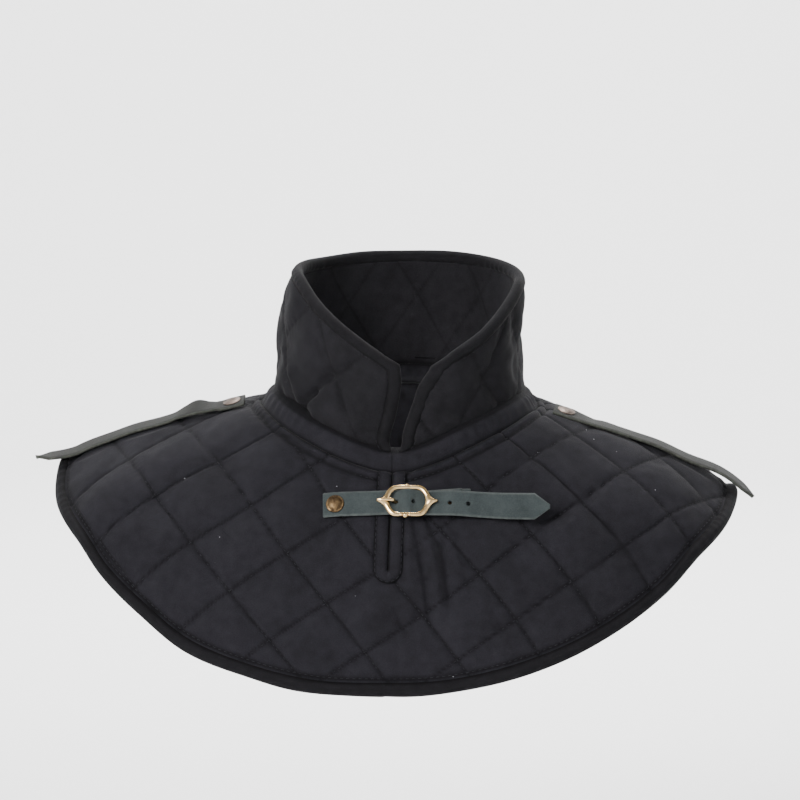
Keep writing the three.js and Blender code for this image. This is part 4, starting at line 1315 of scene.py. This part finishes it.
post_offset = 10.85
bend_radius = 1.6
bend = np.linspace(0, np.pi / 2, 7)
bend_y = -(post_offset - bend_radius + bend_radius * np.cos(bend))
lower_bend = np.stack([0 * bend, bend_y, bar_level + bend_radius - bend_radius * np.sin(bend)], -1)
lower_half = np.concatenate([[[0, -post_offset, level]], lower_bend])
bar_path = np.concatenate([lower_half, lower_half[::-1] * (1, -1, 1)])
bar = round_rod("buckle_bar", bar_path, np.full(len(bar_path), bar_radius))


def ball(name, centre, radius, squash):
    turns = np.linspace(-np.pi / 2, np.pi / 2, 13)
    offsets = np.stack([0 * turns, np.sin(turns) * radius * squash, 0 * turns], -1)
    points = np.asarray(centre, float) + offsets
    return round_rod(name, points, np.maximum(np.cos(turns), 0.02) * radius)


# Columns: x, y, height over the frame's middle, radius, squash.
knob_rows = [
    [-1.4, -11.4, 0.7, 2.2, 1], [-0.3, 12, 0.3, 1.4, 0.8], [-4.6, -11, 0.5, 1.5, 0.9],
    [1.8, -11, 0.5, 1.5, 0.9],
]
knobs = [ball("buckle_knob", (x, y, level + lift), *size) for x, y, lift, *size in knob_rows]


def joined(first, others):
    """One piece of several: the meshes are put together under the first one's name."""
    work = bmesh.new()
    for piece in (first, *others):
        work.from_mesh(piece.data)
    work.to_mesh(first.data)
    work.free()
    first.data.shade_smooth()
    for piece in others:
        bpy.data.objects.remove(piece)
    return first


buckle = joined(buckle_ring, [bar, *knobs])


def brass(name, colour, dark, rough, tarnish):
    """Polished brass, dulled in blotches of tarnish and finely scratched. Its dip paints shade, darkening
    and dulling it more.
    """

    def surface(tone):
        place = tone.node("TexCoord", output=3)
        blotch = tone.noise(place, 160.0, 5.0, 0.6)
        fine = tone.noise(place, 1700.0, 3.0)
        # Painted shade: the dip adds to the tarnish, darkening the colour and roughening it.
        shade = tone.node("Attribute", {"attribute_name": "dip"}, output=2)
        tarnish_and_shade = (blotch * 3.2 - 1.6 + tarnish + shade).held()
        worn = tarnish_and_shade * 0.22 + fine * 0.08 + rough
        height = fine * 0.00003 + blotch * 0.00012
        return {"Base Color": tarnish_and_shade.mixed(colour, dark), "Roughness": worn, "Normal": height.bumped(0.5)}

    return finish(name, {"Metallic": 1.0}, surface)


buckle_brass = brass("polished_brass", (0.8, 0.57, 0.29), (0.2, 0.11, 0.045), rough=0.13, tarnish=0.08)
seat(buckle, buckle_brass, "brass", "buckle_frame")

# Prong. A rod of the same brass, bent round the bar, which passes up through the strap and rests on the
# frame's pointed end. Columns of its leg: x, level.
prong_half_thickness = 0.8
prong_half_width = 1.25
loop_steps = 16
loop_radius = bar_radius + piece_gap + prong_half_thickness
loop_turn = np.radians(np.linspace(150, -75, loop_steps))
loop_path = np.stack([loop_radius * np.cos(loop_turn), bar_level + loop_radius * np.sin(loop_turn)], -1)
prong_leg = [
    [-1, 1.25], [-4.6, 1.9], [-7.1, 3.2], [-8.6, 5], [-9.8, 8.5], [-12, 10.15], [-17, 10.15], [-21.6, 9.9],
]
prong_sides = 14
leg_share = np.linspace(0, len(prong_leg) - 1, 40)
leg_path = read_rows([[i, *row] for i, row in enumerate(prong_leg)], leg_share)[:, 1:]
prong_path = np.concatenate([loop_path, leg_path])
prong_run = unit(np.gradient(prong_path, axis=0))
prong_taper = np.concatenate([np.ones(loop_steps), np.interp(leg_share, [0, 5, 6.4, 7], [1, 1, 0.85, 0.4])])
prong_turn = np.linspace(0, 2 * np.pi, prong_sides, endpoint=False)
prong_out = (prong_half_thickness * prong_taper)[:, None] * np.sin(prong_turn)
prong_rings = np.stack([
    prong_path[:, :1] - prong_run[:, 1:] * prong_out,
    (prong_half_width * prong_taper)[:, None] * np.cos(prong_turn),
    prong_path[:, 1:] + prong_run[:, :1] * prong_out,
], -1)
prong = loft("buckle_tongue", on_buckle(prong_rings), zipper=flat_ends(len(prong_path), prong_sides))
seat(prong, buckle_brass, "brass", "buckle_prong")

# Buckle tab. A short strip of the strap's leather, folded round the bar with a slot for the prong and
# riveted to the cloth under the strap.
tab_width = 18
tab_thickness = 1.2
tab_radius = 2.25
tab_under_lift = 0.95
tab_over_lift = 2.5
slot_half_lengths = (4.25, 1.7, 4.5)


def tab_run(along, lift, way):
    along = np.asarray(along, float)
    points, normals = front_place(buckle_x + along, buckle_height + 0.06 * along)
    return points + normals * lift, normals * way


under_points, under_normals = tab_run(np.linspace(46, 7, 20), tab_under_lift, -1)
wrap_turn = np.radians(np.linspace(-90, -300, 22))
wrap_out = np.stack([np.cos(wrap_turn), 0 * wrap_turn, np.sin(wrap_turn)], -1)
wrap_points = seat_point + (wrap_out * tab_radius + (0, 0, bar_level)) @ buckle_axes
near_points, near_normals = tab_run([4.8, 9], np.array([[3.3], [2.6]]), 1)
over_points, over_normals = tab_run(np.linspace(13, 40, 14), tab_over_lift, 1)
tab = strap_mesh(
    "buckle_loop",
    np.concatenate([under_points, wrap_points, near_points, over_points]),
    np.concatenate([under_normals, wrap_out @ buckle_axes, near_normals, over_normals]),
    tab_width,
    tab_thickness,
    tip=0,
    tip_width=0,
)

# The prong's slot is a box in the buckle's place.
slot = bmesh.new()
for corner in bmesh.ops.create_cube(slot, size=2)["verts"]:
    corner.co = Vector(on_buckle(np.array(corner.co) * slot_half_lengths + (0.5, 0, bar_level)))
bmesh.ops.recalc_face_normals(slot, faces=slot.faces)
cut_out(tab, slot)
seat(tab, strap_suede, "strap_leather", "buckle_tab")

# Rivets. Low domed caps of brass with a rolled rim, tarnished brown, hammered over the leather. The
# one that holds the buckle's tab is hidden under the strap; painted shade makes it dark where it shows
# through the strap's holes. Columns of a cap's section: out, up.
cap_rows = [
    [0, 0], [0.9, 0], [0.97, 0.06], [1, 0.22], [0.985, 0.4], [0.93, 0.5], [0.86, 0.46], [0.8, 0.5],
    [0.7, 0.66], [0.55, 0.82], [0.38, 0.93], [0.2, 0.99], [0, 1],
]


def rivet(name, point, normal, lift, radius, height, painted_shade=0.0):
    """A cap turned from its section, seated on a point in millimetres, with small dents, and darkened by as
    much painted shade as asked.
    """
    share, rise = np.array(cap_rows, float).T
    turn = np.linspace(0, 2 * np.pi, 48, endpoint=False)
    x = unit(np.cross([0.2, 1, 0.1], normal))
    y = np.cross(normal, x)
    dent = 0.05 * np.sin(3 * turn + 0.6)[:, None] * np.sin(np.pi * share)
    dent = dent + 0.04 * np.sin(5 * turn[:, None] + 9 * share)
    out = share[None] * radius
    up = lift + rise[None] * height + dent * share * (rise > 0.4)
    around = (x * np.cos(turn)[:, None] + y * np.sin(turn)[:, None])[:, None]
    points = np.asarray(point) + around * out[..., None]
    points = points + np.asarray(normal) * up[..., None]
    return loft(name, points * mm, closed=True, dip=painted_shade + 0 * up)


old_brass = brass("tarnished_brass", (0.125, 0.083, 0.042), (0.03, 0.018, 0.01), rough=0.36, tarnish=0.5)
rivet_x = -37.0
tab_rivet_along = 30.0
rivet_point, rivet_normal = (value[()] for value in strap_run(np.array(rivet_x)))
rivet_lift = strap_thickness / 2 - 0.1
front_rivet = rivet("closing_rivet", rivet_point, rivet_normal, rivet_lift, radius=6.7, height=2.4)
seat(front_rivet, old_brass, "aged_brass", "front_rivet")
tab_point, tab_normal = (value[0] for value in tab_run([tab_rivet_along], tab_over_lift, 1))
# Painted shade: this rivet is made dark, as shade, where it shows through the strap's holes.
tab_rivet = rivet("tab_rivet", tab_point, tab_normal, tab_thickness / 2, radius=4, height=1.1, painted_shade=1.0)
seat(tab_rivet, old_brass, "aged_brass", "buckle_tab_rivet")

# Shoulder straps. Two long straps of thicker dark grey green leather, riveted near the neck with their
# outer ends free, for tying on arm defences. The left one arches up beside its rivet.
# Columns: x, y, lift of the strap's middle over the cloth.
shoulder_rows = {
    "left": [
        [-116, -12, 1.6], [-125, -12, 1.6], [-134, -12, 1.8], [-143, -12, 4.8], [-152, -11.5, 8],
        [-161, -11, 5.4], [-170, -10.5, 2.2], [-180, -10, 1.7], [-200, -9, 1.6], [-222, -8, 1.6],
        [-243, -8, 1.8],
    ],
    "right": [
        [116, -12, 1.6], [125, -12, 1.6], [140, -12, 1.7], [160, -11, 1.9], [180, -10, 2.1],
        [200, -10, 2.4], [220, -9, 3], [236, -8, 5.5],
    ],
}
shoulder_ends = {"left": (-267, -9, -47.4), "right": (257, -8, -67)}
tack_x = {"left": -170, "right": 164}
shoulder_width = 20
shoulder_thickness = 2.4
shoulder_slack = {"left": 0.25, "right": 0.45}
tack_inset = 1.2
tack_length = 2.4
tack_pitch = 1.2
dark_leather = suede(
    "dark_strap_leather",
    colour=(0.0068, 0.007, 0.006),
    light=(0.0165, 0.0172, 0.014),
    dark=(0.0026, 0.0028, 0.0024),
    edge=(0.046, 0.049, 0.041),
)
tack_sheen = {"Roughness": 0.6, "Sheen Weight": 0.2}
pale_thread = mottled("tack_thread", tack_sheen, 700.0, (0.5, 0.5, 0.48), (0.75, 0.75, 0.72))
dull_brass = brass("dull_brass", (0.17, 0.135, 0.115), (0.07, 0.052, 0.043), rough=0.4, tarnish=0.5)
for side, rows in shoulder_rows.items():
    table = np.array(rows, float)
    sign = np.sign(table[0, 0])
    table[:, 0] *= sign
    reach = np.linspace(table[0, 0], table[-1, 0], 150)
    row = read_rows(table, reach)
    first_guess = (sign * 88 + 0 * reach, mantle_top + 0.1 + reach / 400)
    points, normals = find_place(*first_guess, (sign * reach, row[:, 1]), (0, 1))
    points = points + normals * row[:, 2:3]
    tip = np.array(shoulder_ends[side], float)
    end = tip + unit(tip - points[-1]) * strap_tip
    slack = np.linalg.norm(end - points[-1]) * shoulder_slack[side]
    bend = points[-1] + unit(points[-1] - points[-4]) * slack
    tail = np.linspace(0, 1, 30)[1:, None]
    tail_points = (1 - tail) ** 2 * points[-1] + 2 * tail * (1 - tail) * bend + tail**2 * end
    tail_run = unit(np.gradient(tail_points, axis=0))
    tail_normals = unit(normals[-1] - tail_run * (tail_run @ normals[-1])[:, None])
    points = np.concatenate([points, tail_points])
    normals = np.concatenate([normals, tail_normals])
    steps = np.arange(len(points))
    points = points + normals * (0.25 * np.sin(steps / 7) * np.clip(steps / 60 - 0.3, 0, 1))[:, None]
    arched = side == "left"
    fixed_end = np.clip((145 - reach) / 16, 0, 1)
    arch = np.clip(row[:, 2] - 2.6, 0, None) * arched
    loose = -1.4 * tail[:, 0] * arched
    lean = 0.46 * arch
    twist = np.concatenate([lean + 1.5 * fixed_end * (1 - 0.6 * (arch > 0)), loose])
    points = points + normals * np.concatenate([1.2 * fixed_end - lean, 0 * loose])[:, None]
    strap = strap_mesh(
        f"shoulder_leather_{side}",
        points,
        normals,
        shoulder_width,
        shoulder_thickness,
        strap_tip,
        strap_tip_width,
        cup=0.2,
        twist=twist,
    )
    seat(strap, dark_leather, "shoulder_leather", f"shoulder_strap_{side}")
    middle = np.argmin(np.abs(reach - abs(table[1, 0])))
    tilted = unit(normals[middle] - np.array([0, 0.16, 0]))
    cap_lift = shoulder_thickness / 2 + 0.05
    cap = rivet(f"shoulder_cap_{side}", points[middle], tilted, cap_lift, radius=6.8, height=1.8)
    seat(cap, dull_brass, "aged_brass", f"shoulder_rivet_{side}")
    tacked = np.argmin(np.abs(reach - abs(tack_x[side])))
    run = unit(points[tacked + 1] - points[tacked])
    across = unit(np.cross(run, normals[tacked])) * -sign
    start = points[tacked] + across * (shoulder_width / 2 - tack_inset) + normals[tacked] * 1.3
    begin = start + run * tack_pitch * np.array([[-1], [0], [1]])
    end = begin + across * tack_length - normals[tacked] * 2.2
    tack = sewn(f"shoulder_tack_{side}", [(begin * mm, end * mm, np.repeat(normals[tacked][None], 3, 0))])
    seat(tack, pale_thread, "quilted_cloth")

# Setting. A pale round floor that rises into a wall all round, soft lamps, and the camera in front,
# a little to the right of the middle and a little above.
floor_level = cad_box[0][2] - 0.3
floor_radius = 3.4
wall_height = 5.0
cove = 1.4
cove_turn = np.linspace(-np.pi / 2, 0, 17)
cove_radius = np.concatenate([[0.0001], floor_radius + cove * np.cos(cove_turn), [floor_radius + cove]])
cove_level = np.concatenate([[0], cove + cove * np.sin(cove_turn), [wall_height]]) + floor_level
cove_around = np.linspace(0, 2 * np.pi, 96, endpoint=False)[:, None]
cove_x, cove_y = cove_radius * np.cos(cove_around), cove_radius * np.sin(cove_around)
cove_points = np.stack([cove_x, cove_y, cove_level + 0 * cove_around], -1)
cove_faces = strips(*cove_points.shape[:2], closed=True, round_ring=False)
cove_mesh = bpy.data.meshes.new("floor")
cove_mesh.from_pydata(cove_points.reshape(-1, 3).tolist(), [], cove_faces.tolist())
floor = placed("floor", cove_mesh)
floor_paint = mottled("pale_paint", {"Roughness": 0.9}, 2.0, (0.79, 0.79, 0.79), (0.82, 0.82, 0.82))
floor.data.materials.append(floor_paint)

world = bpy.context.scene.world or bpy.data.worlds.new("daylight")
bpy.context.scene.world = world
world.use_nodes = True
world.node_tree.nodes["Background"].inputs["Color"].default_value = (1, 1, 1, 1)
world.node_tree.nodes["Background"].inputs["Strength"].default_value = 0.36

# Columns: name, place, point that it shines at, size, power.
lamps = [
    ("key_lamp", (-1.25, -2.4, 1.4), (0, 0, -0.05), 1.2, 144),
    ("fill_lamp", (2.2, -1.9, 0.5), (0, 0, -0.05), 1.6, 4),
    ("top_lamp", (-0.2, 0.9, 2.6), (0, 0, -0.05), 1.8, 26),
    ("backdrop_lamp", (0, 1.4, 2.6), (0, 4.4, -0.2), 1.8, 420),
]
for name, place, target, size, power in lamps:
    lamp = bpy.data.lights.new(name, "AREA")
    lamp.shape = "SQUARE"
    lamp.size = size
    lamp.energy = power
    holder = bpy.data.objects.new(name, lamp)
    holder.location = place
    holder.rotation_euler = (Vector(target) - Vector(place)).to_track_quat("-Z", "Y").to_euler()
    bpy.context.scene.collection.objects.link(holder)

camera_turn = math.radians(5)
camera_height = math.radians(6)
camera_distance = 2.2
picture_width = 800
focal_pixels = 2910
sensor_width = 36
aim = Vector((0, 0, -0.004))
back = Vector((
    math.sin(camera_turn) * math.cos(camera_height),
    -math.cos(camera_turn) * math.cos(camera_height),
    math.sin(camera_height),
))
lens = bpy.data.cameras.new("camera")
lens.sensor_width = sensor_width
lens.lens = sensor_width * focal_pixels / picture_width
camera = bpy.data.objects.new("camera", lens)
camera.location = aim + back * camera_distance
camera.rotation_mode = "QUATERNION"
camera.rotation_quaternion = (-back).to_track_quat("-Z", "Y")
bpy.context.scene.collection.objects.link(camera)
bpy.context.scene.camera = camera
